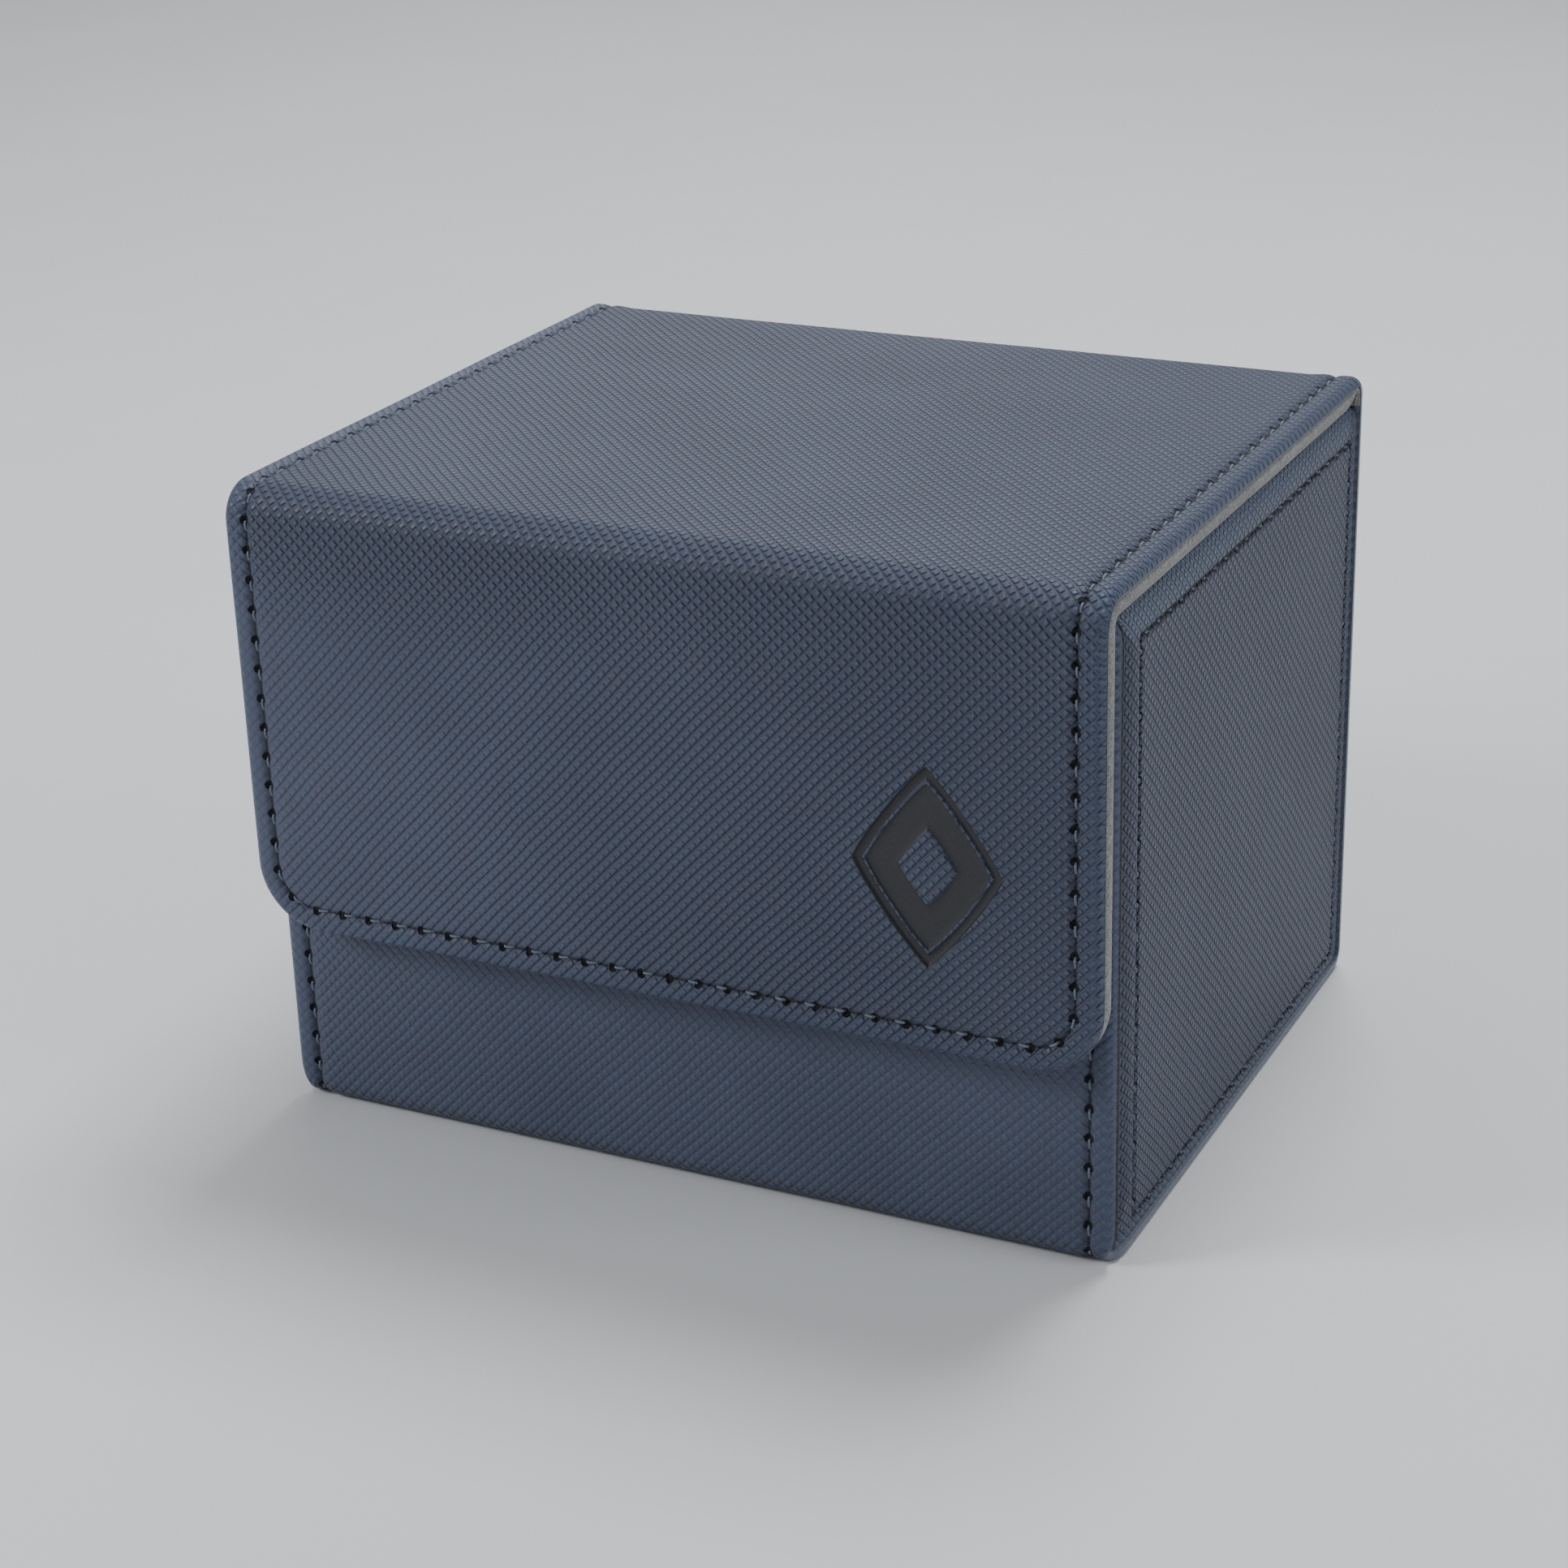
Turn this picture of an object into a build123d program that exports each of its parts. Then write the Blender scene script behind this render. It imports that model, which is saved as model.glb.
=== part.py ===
from build123d import *

import os
from math import atan2, degrees

# Card deck box: an open-top case with a lid hinged along its rear top edge and a magnetic front flap.
#
# Every wall is a stiff board between an outer cover of synthetic leather and an inner lining of microfibre.
# Frame: X across, Y from the flap to the back, Z up, in millimetres. The origin is on the surface that the
# box stands on, under the middle of the whole box.

# Driving dimensions
STRIP_WIDTH = 106.0  # the cover strip, which is front, bottom, back, lid and flap
CASE_DEPTH = 84.0  # outside of the front wall to outside of the back wall
HEIGHT = 79.5  # floor to the top of the lid
FLAP_LENGTH = 54.4  # top of the lid to the flap's lower edge
FLAP_CORNER = 8.0  # radius of the flap's lower corners
COVER = 1.2  # leather and the thin foam behind it
BOARD = 1.5
LINING = 0.8
SIDE_INSET = 0.4  # how far the side panels stand in from the strip's edges
FLAP_GAP = 1.1  # between the flap and the front wall
LID_GAP = 0.4  # between the lid and the top edges of the walls
CREASE_GAP = 0.4  # between the stiff panels and the soft bends that they turn about
STRIP_BEND = 2.7  # outer radius where the strip turns under the case and over the rear hinge
FOLD_BEND = 4.5  # outer radius of the fold between the lid and the flap
BOARD_INSET = 4.4  # from the lid's and flap's edges to their boards, so that the stitches miss the boards
PANEL_ROUND = 0.9  # outer edges of the covers
STITCH_INSET = 3.0  # stitch rows, from the strip's edges
SIDE_ROW_FRONT = 6.4  # stitch rows of the side panels, from the panels' own edges
SIDE_ROW_REAR = 2.2
SIDE_ROW_TOP = 4.2
SIDE_ROW_BOTTOM = 1.6
STITCH_PITCH = 3.6
STITCH_LENGTH = 2.6
THREAD_WIDTH = 0.5
THREAD_HEIGHT = 0.35
GROOVE_WIDTH = 0.9
GROOVE_DEPTH = 0.45
MAGNET_RADIUS = 5.0
MAGNET_HEIGHT = 1.2
MAGNET_FIT = 0.1  # clearance round and above a magnet in its pocket
MAGNET_SPREAD = 60.0  # between the two magnets of a pair
MAGNET_Z = 35.5
EMBLEM_X = 33.4
EMBLEM_Z = 47.0
EMBLEM_WIDTH = 18.0
EMBLEM_HEIGHT = 25.0
EMBLEM_CORNER = 1.2
EMBLEM_RECESS = 0.5
EMBLEM_THICKNESS = 0.3
PIP_SCALE = 0.34  # size of the raised lozenge in the middle of the emblem

# Sizes that follow from them
WALL = COVER + BOARD + LINING
LID_LINING = BOARD + LINING  # the lid's and flap's lining is this thick round their edges
HALF_WIDTH = STRIP_WIDTH / 2
BACK_Y = (CASE_DEPTH + FLAP_GAP + WALL) / 2
FLAP_Y = -BACK_Y
FRONT_Y = BACK_Y - CASE_DEPTH
SIDE_X = HALF_WIDTH - SIDE_INSET
BAY_X = SIDE_X - WALL
CASE_TOP = HEIGHT - WALL - LID_GAP
HINGE_Z = HEIGHT - STRIP_BEND
FLAP_TOP = HEIGHT - FOLD_BEND - CREASE_GAP
FLAP_BOTTOM = HEIGHT - FLAP_LENGTH
LID_FRONT = FLAP_Y + FOLD_BEND
LID_REAR = BACK_Y - STRIP_BEND - CREASE_GAP
BOTTOM_FRONT = FRONT_Y + STRIP_BEND
BOTTOM_REAR = BACK_Y - STRIP_BEND
SIDE_FRONT = FRONT_Y + COVER
SIDE_REAR = BACK_Y - COVER

LOW = (Align.MIN, Align.MIN)
STITCH_X = HALF_WIDTH - STITCH_INSET

# Planes of the outer faces. On each, local X runs along world X or Y and local Y runs up or to the back.
LID_FACE = Plane.XY.offset(HEIGHT)
FLAP_FACE = Plane.XZ.offset(-FLAP_Y)
FRONT_FACE = Plane.XZ.offset(-FRONT_Y)
BACK_FACE = Plane.XZ.offset(-BACK_Y)
LEFT_FACE = Plane.YZ.offset(-SIDE_X)
RIGHT_FACE = Plane.YZ.offset(SIDE_X)

os.makedirs("parts", exist_ok=True)


def save(piece, name):
    """Labels a finished piece and writes it to its own file."""
    piece.part.label = name
    export_step(piece.part, f"parts/{name}.step")


# Shared shapes


def bend_section(y, z, outer_radius, inner_radius, quadrant):
    """Face of a quarter-round bend about the point y, z, for a sketch on the YZ plane."""
    with BuildSketch() as section:
        Circle(outer_radius)
        Circle(inner_radius, mode=Mode.SUBTRACT)
        Rectangle(outer_radius, outer_radius, align=quadrant, mode=Mode.INTERSECT)
    return Pos(y, z) * section.sketch


def rectangle_between(low, high):
    """Adds the rectangle with these two corners to the sketch being built."""
    with Locations(low):
        Rectangle(high[0] - low[0], high[1] - low[1], align=LOW)


def plate(low, high):
    """A plain board or lining that fills the box between two corners."""
    with BuildPart() as block:
        with BuildSketch(Plane.XY.offset(low[2])):
            rectangle_between(low[:2], high[:2])
        extrude(amount=high[2] - low[2])
    return block


def flap_outline(inset):
    """Face of the flap's outline, moved in from its sides and lower edge."""
    half = HALF_WIDTH - inset
    bottom = FLAP_BOTTOM + inset
    with BuildSketch() as outline:
        with BuildLine():
            FilletPolyline(
                (-half, FLAP_TOP),
                (-half, bottom),
                (half, bottom),
                (half, FLAP_TOP),
                radius=FLAP_CORNER - inset,
            )
            Line((half, FLAP_TOP), (-half, FLAP_TOP))
        make_face()
    return outline.sketch


def magnet_places(depth):
    """Centres of a pair of magnets, on the plane whose outward distance from y = 0 is depth."""
    plane = Plane.XZ.offset(depth)
    half = MAGNET_SPREAD / 2
    return [plane * Location((x, MAGNET_Z)) for x in (-half, half)]


# Stitch rows: a groove in the cover, and short stitches that lie on its floor


def straight_rows(low, high):
    """The two straight rows near the strip's edges, from low to high along the strip."""
    return [Wire([Edge.make_line((x, low), (x, high))]) for x in (-STITCH_X, STITCH_X)]


def flap_row():
    """The row down one side of the flap, round its lower corners and up the other side."""
    with BuildLine() as row:
        FilletPolyline(
            (-STITCH_X, FLAP_TOP),
            (-STITCH_X, FLAP_BOTTOM + STITCH_INSET),
            (STITCH_X, FLAP_BOTTOM + STITCH_INSET),
            (STITCH_X, FLAP_TOP),
            radius=FLAP_CORNER - STITCH_INSET,
        )
    return [row.wire()]


def side_rows():
    """The four straight rows round a side panel."""
    low_y = SIDE_FRONT + SIDE_ROW_FRONT
    high_y = SIDE_REAR - SIDE_ROW_REAR
    low_z = COVER + SIDE_ROW_BOTTOM
    high_z = CASE_TOP - SIDE_ROW_TOP
    corners = [(low_y, low_z), (high_y, low_z), (high_y, high_z), (low_y, high_z)]
    return [Wire([Edge.make_line(corners[i - 1], corners[i])]) for i in range(len(corners))]


def stitch_places(row):
    """Locations of a row's stitches, evenly spaced and each turned along the row."""
    count = round(row.length / STITCH_PITCH)
    places = []
    for number in range(count):
        along = (number + 0.5) / count
        point = row.position_at(along)
        heading = row.tangent_at(along)
        places.append(Location((point.X, point.Y), degrees(atan2(heading.Y, heading.X))))
    return places


def grooves(face, rows, inward):
    """The solids to cut from a cover for its stitch rows. inward is +1 or -1 along the face's normal."""
    with BuildPart() as cut:
        with BuildSketch(face):
            for row in rows:
                trace(row, line_width=GROOVE_WIDTH)
        extrude(amount=inward * GROOVE_DEPTH)
    return cut.part


def stitching(face, rows, inward):
    """The rows' stitches, lying on the floors of their grooves."""
    with BuildPart() as thread:
        with BuildSketch(face.offset(inward * GROOVE_DEPTH)):
            for row in rows:
                with Locations(*stitch_places(row)):
                    SlotOverall(STITCH_LENGTH, THREAD_WIDTH)
        extrude(amount=-inward * THREAD_HEIGHT)
    return thread


# Front wall of the case

FRONT_BEND = bend_section(
    BOTTOM_FRONT, STRIP_BEND, STRIP_BEND, STRIP_BEND - COVER, (Align.MAX, Align.MAX)
)
FRONT_ROWS = straight_rows(STRIP_BEND, CASE_TOP)
FRONT_GROOVES = grooves(FRONT_FACE, FRONT_ROWS, -1)

with BuildPart() as front_cover:
    with BuildSketch(Plane.YZ):
        rectangle_between((FRONT_Y, STRIP_BEND), (FRONT_Y + COVER, CASE_TOP))
        add(FRONT_BEND)
    extrude(amount=HALF_WIDTH, both=True)
    with BuildSketch(Plane.YZ):
        rectangle_between((FRONT_Y + COVER, CASE_TOP - COVER), (FRONT_Y + COVER + BOARD, CASE_TOP))
    extrude(amount=BAY_X, both=True)
    front_edges = front_cover.edges().filter_by_position(Axis.Y, FRONT_Y, FRONT_Y)
    fillet(front_edges.group_by(Axis.Z)[-1], radius=PANEL_ROUND)
    add(FRONT_GROOVES, mode=Mode.SUBTRACT)
save(front_cover, "front_cover")

with BuildPart() as front_board:
    with BuildSketch(Plane.XZ.offset(-FRONT_Y - COVER)):
        rectangle_between((-BAY_X, STRIP_BEND), (BAY_X, CASE_TOP - COVER))
    extrude(amount=-BOARD)
    with Locations(*magnet_places(-FRONT_Y - COVER - BOARD)):
        Hole(radius=MAGNET_RADIUS + MAGNET_FIT)
save(front_board, "front_board")

with BuildPart() as front_magnets:
    with BuildSketch(*[Plane(place) for place in magnet_places(-FRONT_Y - COVER - MAGNET_FIT)]):
        Circle(MAGNET_RADIUS)
    extrude(amount=-MAGNET_HEIGHT)
save(front_magnets, "front_magnets")

front_lining = plate((-BAY_X, FRONT_Y + WALL - LINING, WALL), (BAY_X, FRONT_Y + WALL, CASE_TOP))
save(front_lining, "front_lining")
save(stitching(FRONT_FACE, FRONT_ROWS, -1), "front_stitching")

# Back wall of the case. Its cover carries on up to the soft hinge.

BACK_BEND = bend_section(
    BOTTOM_REAR, STRIP_BEND, STRIP_BEND, STRIP_BEND - COVER, (Align.MIN, Align.MAX)
)
BACK_ROWS = straight_rows(STRIP_BEND, HINGE_Z)
BACK_GROOVES = grooves(BACK_FACE, BACK_ROWS, 1)

with BuildPart() as back_cover:
    with BuildSketch(Plane.YZ):
        rectangle_between((BACK_Y - COVER, STRIP_BEND), (BACK_Y, HINGE_Z))
        add(BACK_BEND)
    extrude(amount=HALF_WIDTH, both=True)
    add(BACK_GROOVES, mode=Mode.SUBTRACT)
save(back_cover, "back_cover")

back_board = plate((-BAY_X, SIDE_REAR - BOARD, STRIP_BEND), (BAY_X, SIDE_REAR, CASE_TOP))
save(back_board, "back_board")
back_lining = plate((-BAY_X, BACK_Y - WALL, WALL), (BAY_X, SIDE_REAR - BOARD, CASE_TOP))
save(back_lining, "back_lining")
save(stitching(BACK_FACE, BACK_ROWS, 1), "back_stitching")

# Bottom of the case

BOTTOM_FACE = Plane.XY
BOTTOM_ROWS = straight_rows(BOTTOM_FRONT, BOTTOM_REAR)
BOTTOM_GROOVES = grooves(BOTTOM_FACE, BOTTOM_ROWS, 1)

with BuildPart() as bottom_cover:
    with BuildSketch(Plane.XY):
        rectangle_between((-HALF_WIDTH, BOTTOM_FRONT), (HALF_WIDTH, BOTTOM_REAR))
    extrude(amount=COVER)
    add(BOTTOM_GROOVES, mode=Mode.SUBTRACT)
save(bottom_cover, "bottom_cover")

bottom_board = plate((-BAY_X, BOTTOM_FRONT, COVER), (BAY_X, BOTTOM_REAR, COVER + BOARD))
save(bottom_board, "bottom_board")
bottom_lining = plate((-BAY_X, BOTTOM_FRONT, COVER + BOARD), (BAY_X, BOTTOM_REAR, WALL))
save(bottom_lining, "bottom_lining")
save(stitching(BOTTOM_FACE, BOTTOM_ROWS, 1), "bottom_stitching")

# Side panels: a tray of leather that wraps its board, with the lining laid over both

SIDE_ROWS = side_rows()


def side_outline():
    """Face of a side panel's outline. Its lower corners follow the inside of the strip's bends."""
    with BuildSketch() as outline:
        rectangle_between((SIDE_FRONT, COVER), (SIDE_REAR, CASE_TOP))
        fillet(outline.vertices().group_by(Axis.Y)[0], radius=STRIP_BEND - COVER)
    return outline.sketch


SIDE_OUTLINE = side_outline()


def side_tray(face, inward):
    """A side panel's cover, with rounded outer edges and a pocket for the board on its inner side."""
    side_grooves = grooves(face, SIDE_ROWS, inward)
    with BuildPart() as tray:
        with BuildSketch(face):
            add(SIDE_OUTLINE)
        extrude(amount=inward * (COVER + BOARD))
        outer_face = tray.faces().sort_by(Axis((0, 0, 0), face.z_dir * -inward))[-1]
        fillet(outer_face.edges(), radius=PANEL_ROUND)
        with BuildSketch(face.offset(inward * COVER)):
            rectangle_between((SIDE_FRONT + COVER, 2 * COVER), (SIDE_REAR - COVER, CASE_TOP - COVER))
        extrude(amount=inward * BOARD, mode=Mode.SUBTRACT)
        add(side_grooves, mode=Mode.SUBTRACT)
    return tray


for side, face, inward in (("left", LEFT_FACE, 1), ("right", RIGHT_FACE, -1)):
    save(side_tray(face, inward), f"{side}_cover")
    board_x = sorted(-inward * (SIDE_X - COVER - depth) for depth in (0, BOARD))
    save(
        plate(
            (board_x[0], SIDE_FRONT + COVER, 2 * COVER),
            (board_x[1], SIDE_REAR - COVER, CASE_TOP - COVER),
        ),
        f"{side}_board",
    )
    with BuildPart() as side_lining:
        with BuildSketch(face.offset(inward * (COVER + BOARD))):
            add(SIDE_OUTLINE)
        extrude(amount=inward * LINING)
    save(side_lining, f"{side}_lining")
    save(stitching(face, SIDE_ROWS, inward), f"{side}_stitching")

# Soft hinge along the rear top edge. It stands on the back wall. The lid turns about the top rear edge.

HINGE_QUADRANT = (Align.MIN, Align.MIN)
HINGE_INNER = STRIP_BEND - COVER
HINGE_SECTION = bend_section(BOTTOM_REAR, HINGE_Z, STRIP_BEND, HINGE_INNER, HINGE_QUADRANT)
HINGE_LINING_SECTION = bend_section(
    BOTTOM_REAR, HINGE_Z, HINGE_INNER, HINGE_INNER - LINING, HINGE_QUADRANT
)

with BuildPart() as hinge_cover:
    with BuildSketch(Plane.YZ):
        add(HINGE_SECTION)
    extrude(amount=HALF_WIDTH, both=True)
save(hinge_cover, "hinge_cover")

with BuildPart() as hinge_lining:
    with BuildSketch(Plane.YZ):
        add(HINGE_LINING_SECTION)
    extrude(amount=HALF_WIDTH, both=True)
save(hinge_lining, "hinge_lining")

# Lid

LID_ROWS = straight_rows(LID_FRONT, LID_REAR)
LID_GROOVES = grooves(LID_FACE, LID_ROWS, -1)

with BuildPart() as lid_cover:
    with BuildSketch(LID_FACE.offset(-COVER)):
        rectangle_between((-HALF_WIDTH, LID_FRONT), (HALF_WIDTH, LID_REAR))
    extrude(amount=COVER)
    long_edges = lid_cover.edges().filter_by(Axis.Y).group_by(Axis.Z)[-1]
    fillet(long_edges, radius=PANEL_ROUND)
    add(LID_GROOVES, mode=Mode.SUBTRACT)
save(lid_cover, "lid_cover")

LID_BOARD_X = HALF_WIDTH - BOARD_INSET
LID_BOARD_LOW = (-LID_BOARD_X, LID_FRONT, HEIGHT - COVER - BOARD)
LID_BOARD_HIGH = (LID_BOARD_X, LID_REAR, HEIGHT - COVER)

lid_board = plate(LID_BOARD_LOW, LID_BOARD_HIGH)
save(lid_board, "lid_board")

with BuildPart() as lid_lining:
    with BuildSketch(Plane.XY.offset(HEIGHT - WALL)):
        rectangle_between((-HALF_WIDTH, LID_FRONT), (HALF_WIDTH, LID_REAR))
    extrude(amount=LID_LINING)
    with BuildSketch(Plane.XY.offset(HEIGHT - COVER)):
        rectangle_between(LID_BOARD_LOW[:2], LID_BOARD_HIGH[:2])
    extrude(amount=-BOARD, mode=Mode.SUBTRACT)
save(lid_lining, "lid_lining")
save(stitching(LID_FACE, LID_ROWS, -1), "lid_stitching")

# Soft fold along the front top edge. It belongs to the lid. The flap turns about the top front edge.

FOLD_QUADRANT = (Align.MAX, Align.MIN)
FOLD_Z = HEIGHT - FOLD_BEND
FOLD_INNER = FOLD_BEND - COVER
FOLD_SECTION = bend_section(LID_FRONT, FOLD_Z, FOLD_BEND, FOLD_INNER, FOLD_QUADRANT)
FOLD_LINING_SECTION = bend_section(
    LID_FRONT, FOLD_Z, FOLD_INNER, FOLD_INNER - LID_LINING, FOLD_QUADRANT
)

with BuildPart() as fold_cover:
    with BuildSketch(Plane.YZ):
        add(FOLD_SECTION)
    extrude(amount=HALF_WIDTH, both=True)
save(fold_cover, "fold_cover")

with BuildPart() as fold_lining:
    with BuildSketch(Plane.YZ):
        add(FOLD_LINING_SECTION)
    extrude(amount=HALF_WIDTH, both=True)
save(fold_lining, "fold_lining")

# Flap

FLAP_ROWS = flap_row()
FLAP_GROOVES = grooves(FLAP_FACE, FLAP_ROWS, -1)
FLAP_OUTLINE = flap_outline(0)
FLAP_BOARD_OUTLINE = flap_outline(BOARD_INSET)


def emblem_outline(scale):
    """Face of the emblem's upright lozenge with rounded tips."""
    half_width = scale * EMBLEM_WIDTH / 2
    half_height = scale * EMBLEM_HEIGHT / 2
    with BuildSketch() as lozenge:
        Polygon((0, -half_height), (half_width, 0), (0, half_height), (-half_width, 0))
        fillet(lozenge.vertices(), radius=scale * EMBLEM_CORNER)
    return Pos(EMBLEM_X, EMBLEM_Z) * lozenge.sketch


EMBLEM_OUTLINE = emblem_outline(1)
PIP_OUTLINE = emblem_outline(PIP_SCALE)

with BuildPart() as flap_cover:
    with BuildSketch(FLAP_FACE.offset(-COVER)):
        add(FLAP_OUTLINE)
    extrude(amount=COVER)
    rim = flap_cover.faces().sort_by(Axis.Y)[0].edges()
    fillet(rim.sort_by(Axis.Z)[:-1], radius=PANEL_ROUND)
    add(FLAP_GROOVES, mode=Mode.SUBTRACT)
    with BuildSketch(FLAP_FACE):
        add(EMBLEM_OUTLINE)
    extrude(amount=-EMBLEM_RECESS, mode=Mode.SUBTRACT)
save(flap_cover, "flap_cover")

with BuildPart() as flap_emblem:
    with BuildSketch(FLAP_FACE.offset(-EMBLEM_RECESS)):
        add(EMBLEM_OUTLINE)
    extrude(amount=EMBLEM_THICKNESS)
    with BuildSketch(FLAP_FACE.offset(EMBLEM_THICKNESS - EMBLEM_RECESS)):
        add(PIP_OUTLINE)
    extrude(amount=EMBLEM_RECESS - EMBLEM_THICKNESS)
save(flap_emblem, "flap_emblem")

with BuildPart() as flap_board:
    with BuildSketch(FLAP_FACE.offset(-COVER)):
        add(FLAP_BOARD_OUTLINE)
    extrude(amount=-BOARD)
    with Locations(*magnet_places(-FLAP_Y - COVER - BOARD)):
        Hole(radius=MAGNET_RADIUS + MAGNET_FIT)
save(flap_board, "flap_board")

with BuildPart() as flap_magnets:
    with BuildSketch(*[Plane(place) for place in magnet_places(-FLAP_Y - COVER - MAGNET_FIT)]):
        Circle(MAGNET_RADIUS)
    extrude(amount=-MAGNET_HEIGHT)
save(flap_magnets, "flap_magnets")

with BuildPart() as flap_lining:
    with BuildSketch(FLAP_FACE.offset(-COVER)):
        add(FLAP_OUTLINE)
    extrude(amount=-LID_LINING)
    with BuildSketch(FLAP_FACE.offset(-COVER)):
        add(FLAP_BOARD_OUTLINE)
    extrude(amount=-BOARD, mode=Mode.SUBTRACT)
save(flap_lining, "flap_lining")
save(stitching(FLAP_FACE, FLAP_ROWS, -1), "flap_stitching")
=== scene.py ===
"""Looks of the card deck box: leather skins, microfibre linings, thread, emblem, lights and camera.

Lengths inside the shape functions are in millimetres, and mesh() turns them into metres. Sheet coordinates
(x, s) lie on the unrolled cover strip: x across it, s along it from the flap's lower edge.
"""

import math

import bpy
import numpy as np
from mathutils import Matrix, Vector, noise


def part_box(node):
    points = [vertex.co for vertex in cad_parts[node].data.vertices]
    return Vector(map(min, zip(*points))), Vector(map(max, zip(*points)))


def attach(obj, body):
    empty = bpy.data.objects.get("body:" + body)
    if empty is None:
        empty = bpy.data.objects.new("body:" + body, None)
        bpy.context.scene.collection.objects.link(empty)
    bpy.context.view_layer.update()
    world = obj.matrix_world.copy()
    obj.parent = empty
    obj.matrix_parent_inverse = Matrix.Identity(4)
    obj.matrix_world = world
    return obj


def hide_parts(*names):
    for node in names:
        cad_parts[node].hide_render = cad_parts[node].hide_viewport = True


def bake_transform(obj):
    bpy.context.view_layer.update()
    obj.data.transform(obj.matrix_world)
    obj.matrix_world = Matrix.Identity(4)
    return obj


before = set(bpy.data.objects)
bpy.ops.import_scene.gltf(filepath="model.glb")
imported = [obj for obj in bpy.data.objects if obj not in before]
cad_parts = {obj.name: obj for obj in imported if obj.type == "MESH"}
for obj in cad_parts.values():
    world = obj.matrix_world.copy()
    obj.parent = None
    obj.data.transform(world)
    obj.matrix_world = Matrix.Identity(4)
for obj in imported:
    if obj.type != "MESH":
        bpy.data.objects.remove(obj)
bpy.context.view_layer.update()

MM = 0.001


def low(node, axis):
    """A CAD node's lowest coordinate along an axis, in millimetres."""
    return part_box(node)[0][axis] / MM


def high(node, axis):
    """A CAD node's highest coordinate along an axis, in millimetres."""
    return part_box(node)[1][axis] / MM


X, Y, Z = 0, 1, 2

# The box's own sizes, read from the CAD nodes
HALF = high("lid_cover", X)
TOP = high("lid_cover", Z)
COVER = TOP - low("lid_cover", Z)
WALL = TOP - low("lid_lining", Z)
BACK = high("back_cover", Y)
FLAP = low("flap_cover", Y)
FLAP_END = low("flap_cover", Z)
FRONT = low("front_cover", Y)
CASE_TOP = high("front_cover", Z)
SIDE = high("right_cover", X)
SIDE_DEPTH = SIDE - low("right_cover", X)
FOLD = high("fold_cover", Y) - low("fold_cover", Y)
BEND = high("hinge_cover", Y) - low("hinge_cover", Y)

# Stitching and edges
PITCH = 3.6  # from one stitch hole to the next
ROW = 3.0  # from the strip's edge to its stitch rows
FLAP_CORNER = 8.0
EDGE_ROLL = 1.15  # radius of the strip's rims
REAR_ROLL = 0.4  # the same on the back and underneath
TURNED_IN = 2.4  # how far the leather goes on underneath, from the edge
SEAM_DEPTH = 0.34  # how deep the stitch rows pull the leather in
LATTICE = 1.04  # from one groove of the hatch to the next
# How much closer each set of grooves is than that, across the strip and along it
HATCH = ((0.98, 1.015), (1.05, 1.0))

# ---- sheet paths


class Strip:
    """A path in the YZ plane of straight runs and right-hand turns, with its outward normal on the left."""

    def __init__(self, start, heading, runs):
        self.pieces = []
        point = np.array(start, float)
        angle = math.radians(heading)
        s = 0.0
        for kind, size in runs:
            length = size if kind == "straight" else size * math.pi / 2
            self.pieces.append((s, s + length, kind, size, point, angle))
            ahead = np.array([math.cos(angle), math.sin(angle)])
            right = np.array([ahead[1], -ahead[0]])
            if kind == "straight":
                point = point + ahead * size
            else:
                point = point + (ahead + right) * size
                angle -= math.pi / 2
            s += length
        self.length = s

    def starts(self):
        """Distances at which the runs begin."""
        return [piece[0] for piece in self.pieces]

    def at(self, s):
        """Points and outward normals at distances s along the path."""
        s = np.asarray(s, float)
        points = np.zeros((len(s), 2))
        normals = np.zeros((len(s), 2))
        for s0, s1, kind, size, start, angle in self.pieces:
            begins = s0 if s0 > 0 else -math.inf
            ends = s1 if s1 < self.length else math.inf
            inside = (s >= begins) & (s < ends)
            t = s[inside] - s0
            ahead = np.array([math.cos(angle), math.sin(angle)])
            left = np.array([-ahead[1], ahead[0]])
            if kind == "straight":
                points[inside] = start + t[:, None] * ahead
                normals[inside] = left
            else:
                turned = t / size
                centre = start - left * size
                direction = np.cos(turned)[:, None] * left + np.sin(turned)[:, None] * ahead
                points[inside] = centre + direction * size
                normals[inside] = direction
        return points, normals


STRIP = Strip(
    (FLAP, FLAP_END),
    90,
    [
        ("straight", TOP - FOLD - FLAP_END),
        ("turn", FOLD),
        ("straight", BACK - BEND - FLAP - FOLD),
        ("turn", BEND),
        ("straight", TOP - 2 * BEND),
        ("turn", BEND),
        ("straight", BACK - FRONT - 2 * BEND),
        ("turn", BEND),
        ("straight", CASE_TOP - BEND),
    ],
)
_FLAP, S_FOLD, S_LID, S_HINGE, S_BACK, S_UNDER, S_BOTTOM, S_LOWER, S_FRONT = STRIP.starts()
S_MID_LID = (S_LID + S_HINGE) / 2
S_MID_BACK = (S_BACK + S_UNDER) / 2

# ---- meshes

NO_SEAM = 99.0  # the distance to a stitch row where there is none


def smooth(low_edge, high_edge, value):
    """0 below low_edge, 1 above high_edge, and an S curve between them."""
    t = np.clip((np.asarray(value, float) - low_edge) / (high_edge - low_edge), 0, 1)
    return t * t * (3 - 2 * t)


def steps(start, end, spacing):
    """Evenly spaced values from start to end, both included."""
    return np.linspace(start, end, max(2, int(math.ceil(abs(end - start) / spacing)) + 1))


def joined(*runs):
    """The sorted values of several runs, with near repeats left out."""
    values = np.sort(np.concatenate([np.asarray(r, float) for r in runs]))
    keep = np.concatenate([[True], np.diff(values) > 0.02])
    return values[keep]


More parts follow.
